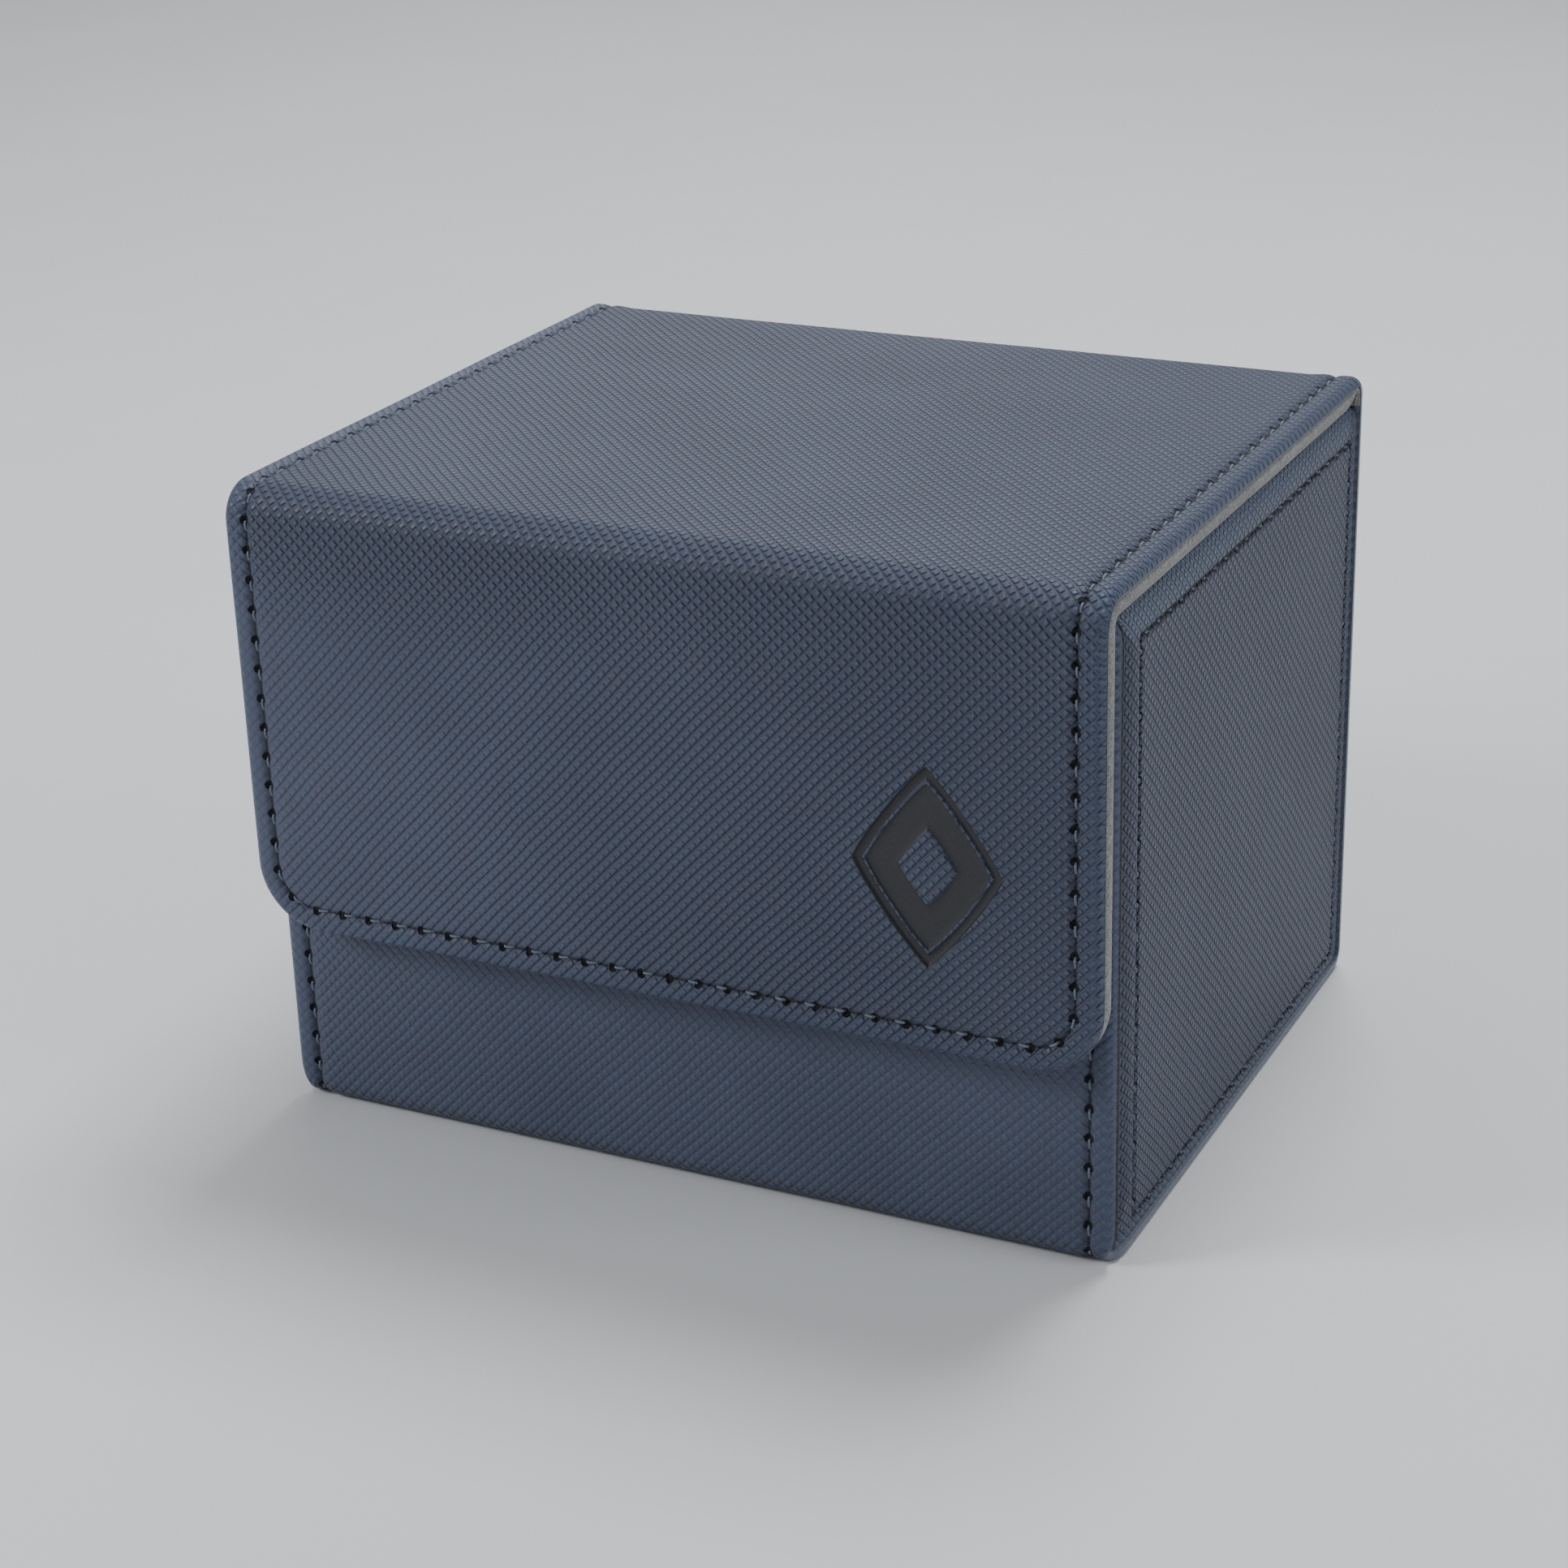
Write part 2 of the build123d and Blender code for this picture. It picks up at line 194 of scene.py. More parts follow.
class Sheet:
    """A flat net of faces in sheet coordinates. Each point has x, s, distance to the edge and seam place."""

    def __init__(self):
        self.points, self.faces, self.seen = [], [], {}

    def point(self, x, s, edge, seam=(0.0, NO_SEAM), out=(0.0, 0.0)):
        key = (round(x, 3), round(s, 3))
        if key not in self.seen:
            self.seen[key] = len(self.points)
            self.points.append((x, s, edge, seam[0], seam[1], out[0], out[1]))
        return self.seen[key]

    def face(self, *corners):
        ring = [c for i, c in enumerate(corners) if c != corners[i - 1]]
        if len(ring) > 2:
            self.faces.append(ring)

    def net(self, rows):
        """Faces between neighbouring rows of point numbers, all the same length."""
        for a, b in zip(rows, rows[1:]):
            for i in range(len(a) - 1):
                self.face(a[i], a[i + 1], b[i + 1], b[i])


def borders(faces):
    """Directed edges that only one face uses."""
    used = {}
    for f in faces:
        for i, a in enumerate(f):
            b = f[(i + 1) % len(f)]
            used[(a, b)] = used.get((a, b), 0) + 1
    return [(a, b) for a, b in used if (b, a) not in used]


def add(name, data):
    """A new object in the scene."""
    obj = bpy.data.objects.new(name, data)
    bpy.context.scene.collection.objects.link(obj)
    return obj


def mesh(name, points, faces, attributes, materials, face_materials=None, smooth_angle=50):
    """A Blender object from points in millimetres, with vector attributes for the materials."""
    data = bpy.data.meshes.new(name)
    data.from_pydata([tuple(p * MM) for p in points], [], faces)
    data.validate()
    for label, values in attributes.items():
        layer = data.attributes.new(label, "FLOAT_VECTOR", "POINT")
        layer.data.foreach_set("vector", np.asarray(values, np.float32).ravel())
    for material in materials:
        data.materials.append(material)
    if face_materials is not None:
        data.polygons.foreach_set("material_index", np.asarray(face_materials, np.int32))
    data.polygons.foreach_set("use_smooth", np.ones(len(data.polygons), bool))
    obj = add(name, data)
    if smooth_angle < 180:
        data.set_sharp_from_angle(angle=math.radians(smooth_angle))
    return obj


def plain_look(x, s):
    """Both sets of grooves in full, no painted light or shade at the rim, and round stitch holes."""
    full, none = np.ones(len(x)), np.zeros(len(x))
    return full, full, none, none


def closed(name, sheet, place, top, bottom, materials, edge_rows=1, bulge=None, look=plain_look):
    """A closed slab: the sheet's net at height top(...) and again at bottom(...), joined round the borders.

    place(x, s, h) gives points in space. bulge(t), for t from 0 at the top to 1 at the bottom, is how far the
    rim stands out beyond the sheet's own border. A second material goes on the underside, further in than
    TURNED_IN. look(x, s) gives the depths of both sets of grooves, the painted light and shade at the rim
    (above 0 for a painted highlight on the rim, below 0 for a thin line of painted shade in the crease, painted
    shade along a side panel's front border, or a painted highlight on its top roll) and the stitch style (0 for
    round holes, 1 for dashes)."""
    x, s, edge, along, across, out_x, out_s = np.array(sheet.points, float).T
    faces = sheet.faces
    count = len(x)
    heights = [top(x, s, edge), bottom(x, s, edge)]
    points = [place(x, s, heights[0]), place(x, s, heights[1])]
    all_faces = [list(f) for f in faces] + [[i + count for i in reversed(f)] for f in faces]
    rim = borders(faces)
    on_rim = sorted({i for e in rim for i in e})
    index = {i: n for n, i in enumerate(on_rim)}
    source = list(range(count)) * 2
    levels = []
    for row in range(1, edge_rows):
        t = row / edge_rows
        stand = bulge(t) if bulge else 0.0
        h = heights[0][on_rim] * (1 - t) + heights[1][on_rim] * t
        levels.append(2 * count + (row - 1) * len(on_rim))
        points.append(place(x[on_rim] + out_x[on_rim] * stand, s[on_rim] + out_s[on_rim] * stand, h))
        source += on_rim
    for a, b in rim:
        columns = [[i] + [base + index[i] for base in levels] + [i + count] for i in (a, b)]
        for k in range(edge_rows):
            all_faces.append([columns[1][k], columns[0][k], columns[0][k + 1], columns[1][k + 1]])
    numbers = [0] * len(all_faces)
    if len(materials) > 1:
        for number, face in enumerate(faces):
            numbers[len(faces) + number] = int(min(edge[i] for i in face) > TURNED_IN)
    source = np.array(source)
    one, two, rim_light_and_shade, style = look(x, s)
    seam = np.stack([along, across, style], 1)[source]
    seam[count:, 1] = NO_SEAM
    looks = {
        "cloth": np.stack([x, s, edge], 1)[source],
        "seam": seam,
        "hatch": np.stack([one, two, rim_light_and_shade], 1)[source],
    }
    piece = mesh(name, np.concatenate(points), all_faces, looks, materials, numbers)
    return piece


def along_path(path):
    """A function that gives the points at height h above a path's outer surface."""

    def place(x, s, h):
        middle, normal = path.at(s)
        return np.stack([x, middle[:, 0] + h * normal[:, 0], middle[:, 1] + h * normal[:, 1]], 1)

    return place


def flat(height):
    """A function that gives the same height all over a sheet."""
    return lambda x, s, edge: np.full(len(x), height)


on_strip = along_path(STRIP)


# Distances from an edge at which the skins have points: close together at the roll and at the stitches
EDGE_LINES = [0, 0.05, 0.15, 0.3, 0.5, 0.75, 1.0, 1.3, 1.6, 1.95, 2.3, 2.55, 2.75, 2.9, 3.0, 3.1, 3.25, 3.45]
EDGE_LINES += [3.75, 4.1, 4.6, 5.2, 6.0, 7.0, 8.0]
INNER = FLAP_CORNER
CORNER_STEPS = 14

# The seam places carry on from the flap to the lid and down the back without a break.
SEAM_ZERO = INNER - (HALF - INNER + (INNER - ROW) * math.pi / 2)


def add_rows(sheet, columns, rows, lines, all_lean):
    """Rows of points across the strip, closer together near both edges. Points on the edges lean outwards, and
    where all_lean is true so do the other points of the borders."""

    def beside(side, d, s):
        out = (side if d == 0 or all_lean else 0, 0)
        return sheet.point(side * (HALF - d), s, d, (side * (s - SEAM_ZERO), d - ROW), out)

    grid = []
    for s in rows:
        left = [beside(-1, d, s) for d in lines]
        middle = [sheet.point(x, s, HALF - abs(x)) for x in columns[1:-1]]
        grid.append(left + middle + [beside(1, d, s) for d in reversed(lines)])
    sheet.net(grid)


def flap_sheet(columns, rows, lines=EDGE_LINES):
    """The net of the flap with its rounded lower corners, carried on along the strip over rows of s."""
    sheet = Sheet()
    add_rows(sheet, columns, rows, lines, all_lean=True)
    sheet.net([[sheet.point(x, d, d, (x, d - ROW), (0, -1)) for x in columns] for d in lines])
    for side in (-1, 1):
        fans = []
        for d in lines:
            fan = []
            reach = INNER - d
            for k in range(CORNER_STEPS + 1):
                turn = k / CORNER_STEPS * math.pi / 2
                seam = (side * (HALF - INNER + (INNER - ROW) * turn), d - ROW)
                out = (side * math.sin(turn), -math.cos(turn))
                px = side * (HALF - INNER + reach * math.sin(turn))
                fan.append(sheet.point(px, INNER - reach * math.cos(turn), d, seam, out))
            fans.append(fan if side > 0 else fan[::-1])
        sheet.net(fans)
    return sheet


def band_sheet(columns, rows, lines=EDGE_LINES):
    """The net of a plain length of the strip."""
    sheet = Sheet()
    add_rows(sheet, columns, rows, lines, all_lean=False)
    return sheet


def ripple(x, s, scale, size):
    """Small uneven rises and dips, the same on every run."""
    return np.array([noise.noise(Vector((a / scale, b / scale, 3.7))) for a, b in zip(x, s)]) * size


def roll(edge, radius):
    """Drop of a rounded edge: radius at the edge itself, 0 further in than radius."""
    inside = np.clip(radius - np.asarray(edge, float), 0, radius)
    return radius - np.sqrt(np.maximum(radius * radius - inside * inside, 0))


def behind(s):
    """1 on the back wall and underneath, 0 on the lid and the flap and on the front wall."""
    return smooth(S_HINGE, S_BACK, s) * (1 - smooth(S_FRONT - BEND, S_FRONT, s))


def on_top(s):
    """1 on the lid and 0 elsewhere."""
    return smooth(S_FOLD + 1, S_LID + 1, s) * (1 - smooth(S_HINGE, S_BACK, s))


def strip_look(x, s):
    """How the hatch and the rims change along the strip. The grooves are deeper to the right on the flap, and
    shallow on the front wall and in the left-hand border."""
    front_wall = smooth(S_FRONT - 2, S_FRONT, s)
    flap = 1 - smooth(S_FOLD - 14, S_FOLD, s)
    one = 0.9 + flap * (0.25 * x / HALF - 0.48) - 0.1 * behind(s) - 0.6 * front_wall
    two = 0.76 + flap * 0.45 * x / HALF - 0.51 * front_wall
    smoother = 1 - 0.62 * (1 - smooth(ROW, ROW + 1, HALF + x)) * (1 - behind(s))
    style = 0.62 * np.maximum(on_top(s), behind(s))
    # the third value: a painted highlight on the rims behind and underneath, and a thin line of painted shade at
    # the front wall's edges
    return one * smoother, two * smoother, behind(s) - 0.25 * front_wall, style


def leather_relief(edge, s):
    """Height of the stitched leather near its edge: rolled rim, low crowned border, pulled-down seam."""
    radius = EDGE_ROLL + (REAR_ROLL - EDGE_ROLL) * behind(s)
    depth = SEAM_DEPTH - 0.16 * smooth(S_HINGE - 3, S_HINGE, s) * (1 - smooth(S_BACK, S_BACK + 3, s))
    seam = depth * np.exp(-(((edge - ROW) / 0.42) ** 2))
    border = 0.2 * (1 - smooth(ROW, ROW + 1.8, edge)) - 0.1 * np.sin(np.clip(edge / ROW, 0, 1) * np.pi)
    return -roll(edge, radius) - seam - border


# ---- materials


class Nodes:
    """Short names for building a material's node tree."""

    def __init__(self, name):
        self.material = bpy.data.materials.new(name)
        self.material.use_nodes = True
        self.tree = self.material.node_tree
        self.tree.nodes.clear()
        self.shader = self.node("BsdfPrincipled")
        self.node("OutputMaterial", Surface=self.shader.outputs["BSDF"])

    def put(self, value, socket):
        if isinstance(value, bpy.types.NodeSocket):
            self.tree.links.new(value, socket)
        else:
            socket.default_value = value

    def fill(self, node, values):
        """The node, with these values or links on its inputs."""
        for name, value in values.items():
            self.put(value, node.inputs[name.replace("_", " ")])
        return node

    def node(self, kind, **values):
        return self.fill(self.tree.nodes.new("ShaderNode" + kind), values)

    def math(self, operation, a, b=0.0, c=0.0, clamp=False):
        node = self.node("Math")
        node.operation = operation
        node.use_clamp = clamp
        for value, socket in zip((a, b, c), node.inputs):
            self.put(value, socket)
        return node.outputs[0]

    def plus(self, a, b, **kept):
        return self.math("ADD", a, b, **kept)

    def times(self, a, b):
        return self.math("MULTIPLY", a, b)

    def most(self, a, b):
        return self.math("MAXIMUM", a, b)

    def rest(self, share):
        """What is left of 1."""
        return self.math("SUBTRACT", 1.0, share)

    def swing(self, share, size):
        """A share from 0 to 1 as a swing about 0, size wide."""
        return self.times(self.math("SUBTRACT", share, 0.5), size)

    def fade(self, value, start, end):
        """0 at start and 1 at end, with an S curve between them."""
        node = self.node("MapRange", Value=value, From_Min=start, From_Max=end)
        node.interpolation_type = "SMOOTHSTEP"
        return node.outputs["Result"]

    def mix(self, share, a, b, blend="MIX"):
        node = self.node("Mix")
        node.data_type = "RGBA"
        node.blend_type = blend
        self.put(share, node.inputs["Factor"])
        for value, socket in ((a, node.inputs[6]), (b, node.inputs[7])):
            self.put((*value, 1.0) if isinstance(value, tuple) else value, socket)
        return node.outputs[2]

    def mottled(self, colour, share, thin, thick):
        """The colour times a mix of thin and thick."""
        return self.mix(1.0, colour, self.mix(share, thin, thick), "MULTIPLY")

    def place(self):
        """The point itself, in metres, at rest on its own mesh."""
        return self.node("TexCoord").outputs["Object"]

    def split(self, name):
        """The three values of a point attribute."""
        attribute = self.node("Attribute")
        attribute.attribute_name = name
        return self.node("SeparateXYZ", Vector=attribute.outputs["Vector"]).outputs

    def join(self, x, y, z):
        return self.node("CombineXYZ", X=x, Y=y, Z=z).outputs[0]

    def noise(self, vector, scale, detail=2.0, rough=0.5):
        node = self.node("TexNoise", Vector=vector, Scale=scale, Detail=detail, Roughness=rough)
        return node.outputs["Fac"]

    def bump(self, height, distance, **under):
        """height, up to distance in metres, on top of another bump's normal where there is one."""
        return self.node("Bump", Strength=1.0, Distance=distance, Height=height, **under).outputs["Normal"]

    def finish(self, colour, roughness, **values):
        self.fill(self.shader, {"Base Color": colour, "Roughness": roughness, **values})
        return self.material


NAVY = (0.065, 0.078, 0.119)
# Painted shade for the hatch's grooves and the stitch rows, and a painted highlight for the hatch's crests
NAVY_SHADE = (0.048, 0.058, 0.090)
NAVY_GROOVE_SHADE = (0.020, 0.026, 0.044)
NAVY_CREST_HIGHLIGHT = (0.072, 0.087, 0.132)
# Painted sheen on the rolled edges
NAVY_EDGE_SHEEN = (0.058, 0.079, 0.133)
# Painted highlight on the lit rims
NAVY_RIM_HIGHLIGHT = (0.125, 0.142, 0.180)
# Painted shade along the side panels' front borders
NAVY_BORDER_SHADE = (0.024, 0.036, 0.070)
# Painted highlight on the side panels' top rolls
NAVY_TOP_HIGHLIGHT = (0.088, 0.118, 0.178)
THREAD_BLUE = (0.150, 0.195, 0.245)
# Painted shade, in the stitch holes and rows and in the crease at the joints
BLACK = (0.0035, 0.0038, 0.005)


def lattice(n):
    """Height of the embossed hatch, 1 between the grooves: two sets of them, at 45 degrees on the sheet."""
    u, v, _edge = n.split("cloth")
    one_depth, two_depth, _tint = n.split("hatch")
    drift = n.swing(n.noise(n.join(n.times(u, 0.11), n.times(v, 0.11), 0.0), 1.0, 1.0), 0.5)
    pace = math.sqrt(0.5) / LATTICE
    (one_u, one_v), (two_u, two_v) = HATCH
    one = n.math("MULTIPLY_ADD", u, one_u * pace, n.math("MULTIPLY_ADD", v, one_v * pace, drift))
    two = n.math("SUBTRACT", n.times(u, two_u * pace), n.math("MULTIPLY_ADD", v, two_v * pace, drift))
    sides = []
    for family, depth in ((one, one_depth), (two, two_depth)):
        fall = n.math("SUBTRACT", n.fade(n.math("PINGPONG", family, 0.5), 0.04, 0.34), 1.0)
        sides.append(n.math("MULTIPLY_ADD", fall, depth, 1.0))
    both = n.times(sides[0], sides[1])
    either = n.math("MINIMUM", sides[0], sides[1])
    return n.plus(n.times(both, 0.6), n.times(either, 0.4))


def leather():
    """Navy synthetic leather: embossed hatch with painted shade in its grooves and painted highlights on its
    crests, painted light and shade at the edges, and painted shade in the stitch holes and rows.
    """
    n = Nodes("leather")
    u, v, edge = n.split("cloth")
    height = n.most(lattice(n), n.rest(n.fade(edge, 0.0, 0.05)))
    plane = n.join(u, v, 0.0)
    grain = n.noise(plane, 3.2, 3.0, 0.6)
    broad = n.noise(plane, 0.035, 2.0)
    tint = n.noise(plane, 0.35, 2.0)

    # painted shade in the hatch's grooves, deepest at their bottoms, and a painted highlight on its crests
    colour = n.mix(n.fade(height, -0.6, 0.0), NAVY_GROOVE_SHADE, NAVY_SHADE)
    colour = n.mix(n.fade(height, 0.0, 0.55), colour, NAVY)
    colour = n.mix(n.times(n.fade(height, 0.7, 1.0), 0.55), colour, NAVY_CREST_HIGHLIGHT)
    colour = n.mottled(colour, n.fade(tint, 0.35, 0.7), (0.97, 1.01, 1.03), (1.04, 0.99, 0.99))
    colour = n.mottled(colour, n.fade(broad, 0.3, 0.7), (0.92, 0.92, 0.93), (1.08, 1.08, 1.07))
    along, across, style = n.split("seam")
    _one, _two, rim_light_and_shade = n.split("hatch")
    # painted light and shade at the rims: a painted sheen along every rolled edge, a painted highlight on the
    # rims behind, underneath and at the side panels' rear and bottom, painted shade along the side panels' front
    # borders, a painted highlight on their top rolls, and a thin line of painted shade in the crease beside the
    # front wall
    # painted highlight on the rims behind and underneath and at the side panels' rear and bottom; the hatch's
    # bump is lower under it
    rim_highlight_amount = n.most(rim_light_and_shade, 0.0)
    # the codes below 0: painted shade in the crease and along the front borders, a painted highlight on the top
    # rolls
    rim_paint_code = n.most(n.times(rim_light_and_shade, -1.0), 0.0)
    rim = n.rest(n.fade(edge, 0.4, 3.0))
    # painted sheen along every rolled edge, strongest at the edge itself
    colour = n.mix(n.times(rim, 0.55), colour, NAVY_EDGE_SHEEN)
    rim_highlight = n.times(n.rest(n.fade(edge, 0.0, 1.6)), n.times(rim_highlight_amount, 0.9))
    colour = n.mix(rim_highlight, colour, NAVY_RIM_HIGHLIGHT)
    # painted shade along the side panels' front borders
    border = n.rest(n.fade(edge, 3.6, 6.2))
    under_lid = n.fade(rim_paint_code, 1.2, 1.8)
    other = n.rest(under_lid)
    front_border_shade = n.times(other, n.fade(rim_paint_code, 0.5, 1.0))
    colour = n.mix(n.times(border, front_border_shade), colour, NAVY_BORDER_SHADE)
    # a painted highlight on the side panels' top rolls, lifting the lid's shadow there
    top_roll_highlight = n.rest(n.fade(edge, 2.8, 4.2))
    colour = n.mix(n.times(top_roll_highlight, n.times(under_lid, 0.7)), colour, NAVY_TOP_HIGHLIGHT)
    # a thin line of painted shade at the very edge, in the joint between the front wall and the side panels
    crease = n.rest(n.fade(edge, 0.04, 0.16))
    crease_shade = n.times(other, n.fade(rim_paint_code, 0.0, 0.2))
    colour = n.mix(n.times(crease, crease_shade), colour, BLACK)

    # the stitch rows: round holes or short dashes coloured as painted shade, on a thin line of painted shade
    # inside a soft band of painted shade
    beside = n.swing(n.math("FRACT", n.math("DIVIDE", along, PITCH)), PITCH)
    wobble = n.swing(n.noise(plane, 1.4, 1.0), 0.22)
    reach = n.math("SQRT", n.plus(n.math("POWER", beside, 2.0), n.math("POWER", across, 2.0)))
    beyond = n.math("ABSOLUTE", across)
    hole = n.rest(n.fade(n.plus(reach, wobble), 0.46, 0.62))
    hole = n.times(hole, n.rest(n.times(style, 0.5)))
    ragged = n.plus(beyond, n.times(wobble, 0.5))
    line = n.rest(n.fade(ragged, 0.06, 0.24))
    dash = n.rest(n.fade(ragged, 0.14, 0.34))
    dash = n.times(dash, n.fade(n.math("ABSOLUTE", beside), 0.35, 0.75))
    dash = n.times(dash, n.times(style, 0.9))
    painted_shading = n.most(n.most(hole, dash), n.times(line, 0.8))
    gutter_shade = n.rest(n.fade(beyond, 0.1, 0.7))
    colour = n.mix(n.times(gutter_shade, 0.4), colour, NAVY_SHADE)
    colour = n.mix(painted_shading, colour, BLACK)

    sides = n.math("MULTIPLY_ADD", n.fade(style, 0.7, 1.0), 0.5, 1.0)
    normal = n.bump(n.times(n.times(height, n.rest(rim_highlight)), sides), 0.00045)
    normal = n.bump(grain, 0.00002, Normal=normal)
    normal = n.bump(n.times(hole, -1.0), 0.0004, Normal=normal)
    rough = n.plus(0.56, n.swing(grain, 0.22))
    rough = n.math("SUBTRACT", rough, n.times(n.fade(height, 0.5, 1.0), 0.12))
    rough = n.plus(rough, n.times(hole, 0.4), clamp=True)
    return n.finish(colour, rough, Normal=normal, Specular_IOR_Level=0.32, Sheen_Weight=0.04, Sheen_Roughness=0.4)


def microfibre():
    """Light grey-beige microfibre with a short, uneven nap."""
    n = Nodes("microfibre")
    place = n.place()
    nap = n.noise(place, 3200.0, 3.0, 0.8)
    clumps = n.noise(place, 1500.0, 2.0, 0.6)
    brushed = n.noise(place, 60.0, 2.0)
    colour = n.mix(n.fade(nap, 0.3, 0.7), (0.105, 0.104, 0.098), (0.30, 0.296, 0.28))
    colour = n.mix(n.fade(clumps, 0.57, 0.70), colour, (0.12, 0.115, 0.105))
    colour = n.mottled(colour, n.fade(brushed, 0.35, 0.65), (0.88, 0.88, 0.89), (1.08, 1.08, 1.07))
    normal = n.bump(n.plus(n.times(nap, 0.6), n.times(clumps, 0.7)), 0.00034)
    return n.finish(colour, 0.95, Normal=normal, Specular_IOR_Level=0.15, Sheen_Weight=0.3, Sheen_Roughness=0.6)


def thread_material():
    """Two-ply polyester thread: the twist runs round each stitch."""
    n = Nodes("thread")
    along, around, _none = n.split("twist")
    ply = n.math("PINGPONG", n.plus(n.times(along, 1.9), n.times(around, 2.0)), 0.5)
    # painted shade in the grooves between the twisted plies, light blue on the plies themselves
    colour = n.mix(n.fade(ply, 0.0, 0.3), (0.022, 0.036, 0.058), THREAD_BLUE)
    fibre = n.noise(n.join(n.times(along, 2.0), n.times(around, 9.0), 0.0), 4.0, 2.0)
    colour = n.mix(n.times(n.fade(fibre, 0.55, 0.8), 0.5), colour, (0.26, 0.36, 0.46))
    return n.finish(colour, 0.45, Normal=n.bump(ply, 0.00008), Specular_IOR_Level=0.5, Sheen_Weight=0.15)


def pressed():
    """The emblem's hot-pressed floor: near black, almost smooth."""
    n = Nodes("pressed_black")
    u, v, _edge = n.split("cloth")
    plane = n.join(u, v, 0.0)
    grain = n.noise(plane, 5.0, 3.0, 0.6)
    patch = n.noise(plane, 0.5, 2.0)
    colour = n.mix(n.fade(grain, 0.3, 0.7), (0.014, 0.015, 0.018), (0.026, 0.026, 0.030))
    normal = n.bump(n.plus(grain, n.times(lattice(n), 0.35)), 0.00003)
    rough = n.plus(0.42, n.times(patch, 0.18))
    return n.finish(colour, rough, Normal=normal, Specular_IOR_Level=0.45)


def greyboard():
    """Bookbinding board: flecked grey-brown fibres."""
    n = Nodes("greyboard")
    place = n.place()
    fibre = n.noise(place, 900.0, 4.0, 0.7)
    fleck = n.noise(place, 2600.0, 1.0)
    colour = n.mix(fibre, (0.22, 0.20, 0.175), (0.42, 0.39, 0.35))
    colour = n.mix(n.fade(fleck, 0.68, 0.75), colour, (0.10, 0.09, 0.08))
    return n.finish(colour, 0.9, Normal=n.bump(fibre, 0.00008), Specular_IOR_Level=0.2)


def nickel():
    """Nickel-plated magnets with faint turning marks."""
    n = Nodes("nickel")
    place = n.place()
    wear = n.noise(place, 700.0, 3.0)
    colour = n.mix(wear, (0.55, 0.54, 0.52), (0.72, 0.71, 0.69))
    rough = n.plus(0.2, n.times(wear, 0.2))
    return n.finish(colour, rough, Normal=n.bump(wear, 0.00001), Metallic=1.0)


LEATHER = leather()
MICROFIBRE = microfibre()
THREAD = thread_material()
PRESSED = pressed()

# ---- emblem shape

EMBLEM_LOW, EMBLEM_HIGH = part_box("flap_emblem")
EMBLEM_X = (EMBLEM_LOW.x + EMBLEM_HIGH.x) / 2 / MM
EMBLEM_S = (EMBLEM_LOW.z + EMBLEM_HIGH.z) / 2 / MM - FLAP_END
EMBLEM_A = (EMBLEM_HIGH.x - EMBLEM_LOW.x) / 2 / MM
EMBLEM_B = (EMBLEM_HIGH.z - EMBLEM_LOW.z) / 2 / MM
EMBLEM_ROUND = 1.12  # exponent of the lozenge: 1 is straight-sided and sharp, more is rounder
POCKET = -0.95  # floor of the pocket in the leather that the emblem stands in


def lozenge_size(x, s):
    """1 on the emblem's outline, less inside it and more outside."""
    across = np.abs((x - EMBLEM_X) / EMBLEM_A) ** EMBLEM_ROUND
    up = np.abs((s - EMBLEM_S) / EMBLEM_B) ** EMBLEM_ROUND
    return (across + up) ** (1 / EMBLEM_ROUND)


# ---- skins of the cover strip


def strip_top(x, s, edge):
    """Height of the leather's outer surface on the strip."""
    h = leather_relief(edge, s) + ripple(x, s, 17.0, 0.05)
    crease = np.exp(-(((s - (S_HINGE + S_BACK) / 2) / 3.6) ** 2))
    h -= 0.38 * crease * smooth(ROW, 6.5, edge)
    fold = np.exp(-(((s - (S_FOLD + S_LID) / 2) / 7.0) ** 2))
    h -= 0.10 * fold * smooth(ROW, INNER, edge)
    pocket = lozenge_size(x, s) < 1.0
    return np.where(pocket & (s < S_FOLD), POCKET, h)


BASE_COLUMNS = steps(INNER - HALF, HALF - INNER, 1.5)
EMBLEM_STEP = 0.4
EMBLEM_COLUMNS = steps(EMBLEM_X - EMBLEM_A - 1, min(EMBLEM_X + EMBLEM_A + 1, HALF - INNER), EMBLEM_STEP)
EMBLEM_ROWS = steps(EMBLEM_S - EMBLEM_B - 1, EMBLEM_S + EMBLEM_B + 1, EMBLEM_STEP)
FLAP_COLUMNS = joined(BASE_COLUMNS, EMBLEM_COLUMNS)
FLAP_ROWS = joined(
    steps(INNER, S_FOLD - 2, 1.2),
    EMBLEM_ROWS,
    steps(S_FOLD - 2, S_LID + 2, 0.35),
    steps(S_LID + 2, S_MID_LID, 1.2),
)
REAR_ROWS = joined(
    steps(S_MID_LID, S_HINGE - 3, 1.2),
    steps(S_HINGE - 3, S_BACK + 3, 0.3),
    steps(S_BACK + 3, S_MID_BACK, 1.2),
)
BASE_ROWS = joined(
    steps(S_MID_BACK, S_UNDER, 1.5),
    steps(S_UNDER, S_BOTTOM, 0.4),
    steps(S_BOTTOM, S_LOWER, 1.5),
    steps(S_LOWER, S_FRONT, 0.4),
    steps(S_FRONT, STRIP.length - 1.3, 1.2),
    steps(STRIP.length - 1.3, STRIP.length, 0.13),
)


def strip_skin(name, sheet, place=on_strip, top=strip_top):
    """A length of the cover strip, with the inside cloth on its underside."""
    both = [LEATHER, MICROFIBRE]
    return closed(name, sheet, place, top, flat(-COVER), both, edge_rows=2, look=strip_look)


flap_skin = strip_skin("flap_skin", flap_sheet(FLAP_COLUMNS, FLAP_ROWS))
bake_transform(flap_skin)
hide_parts("flap_cover", "fold_cover")

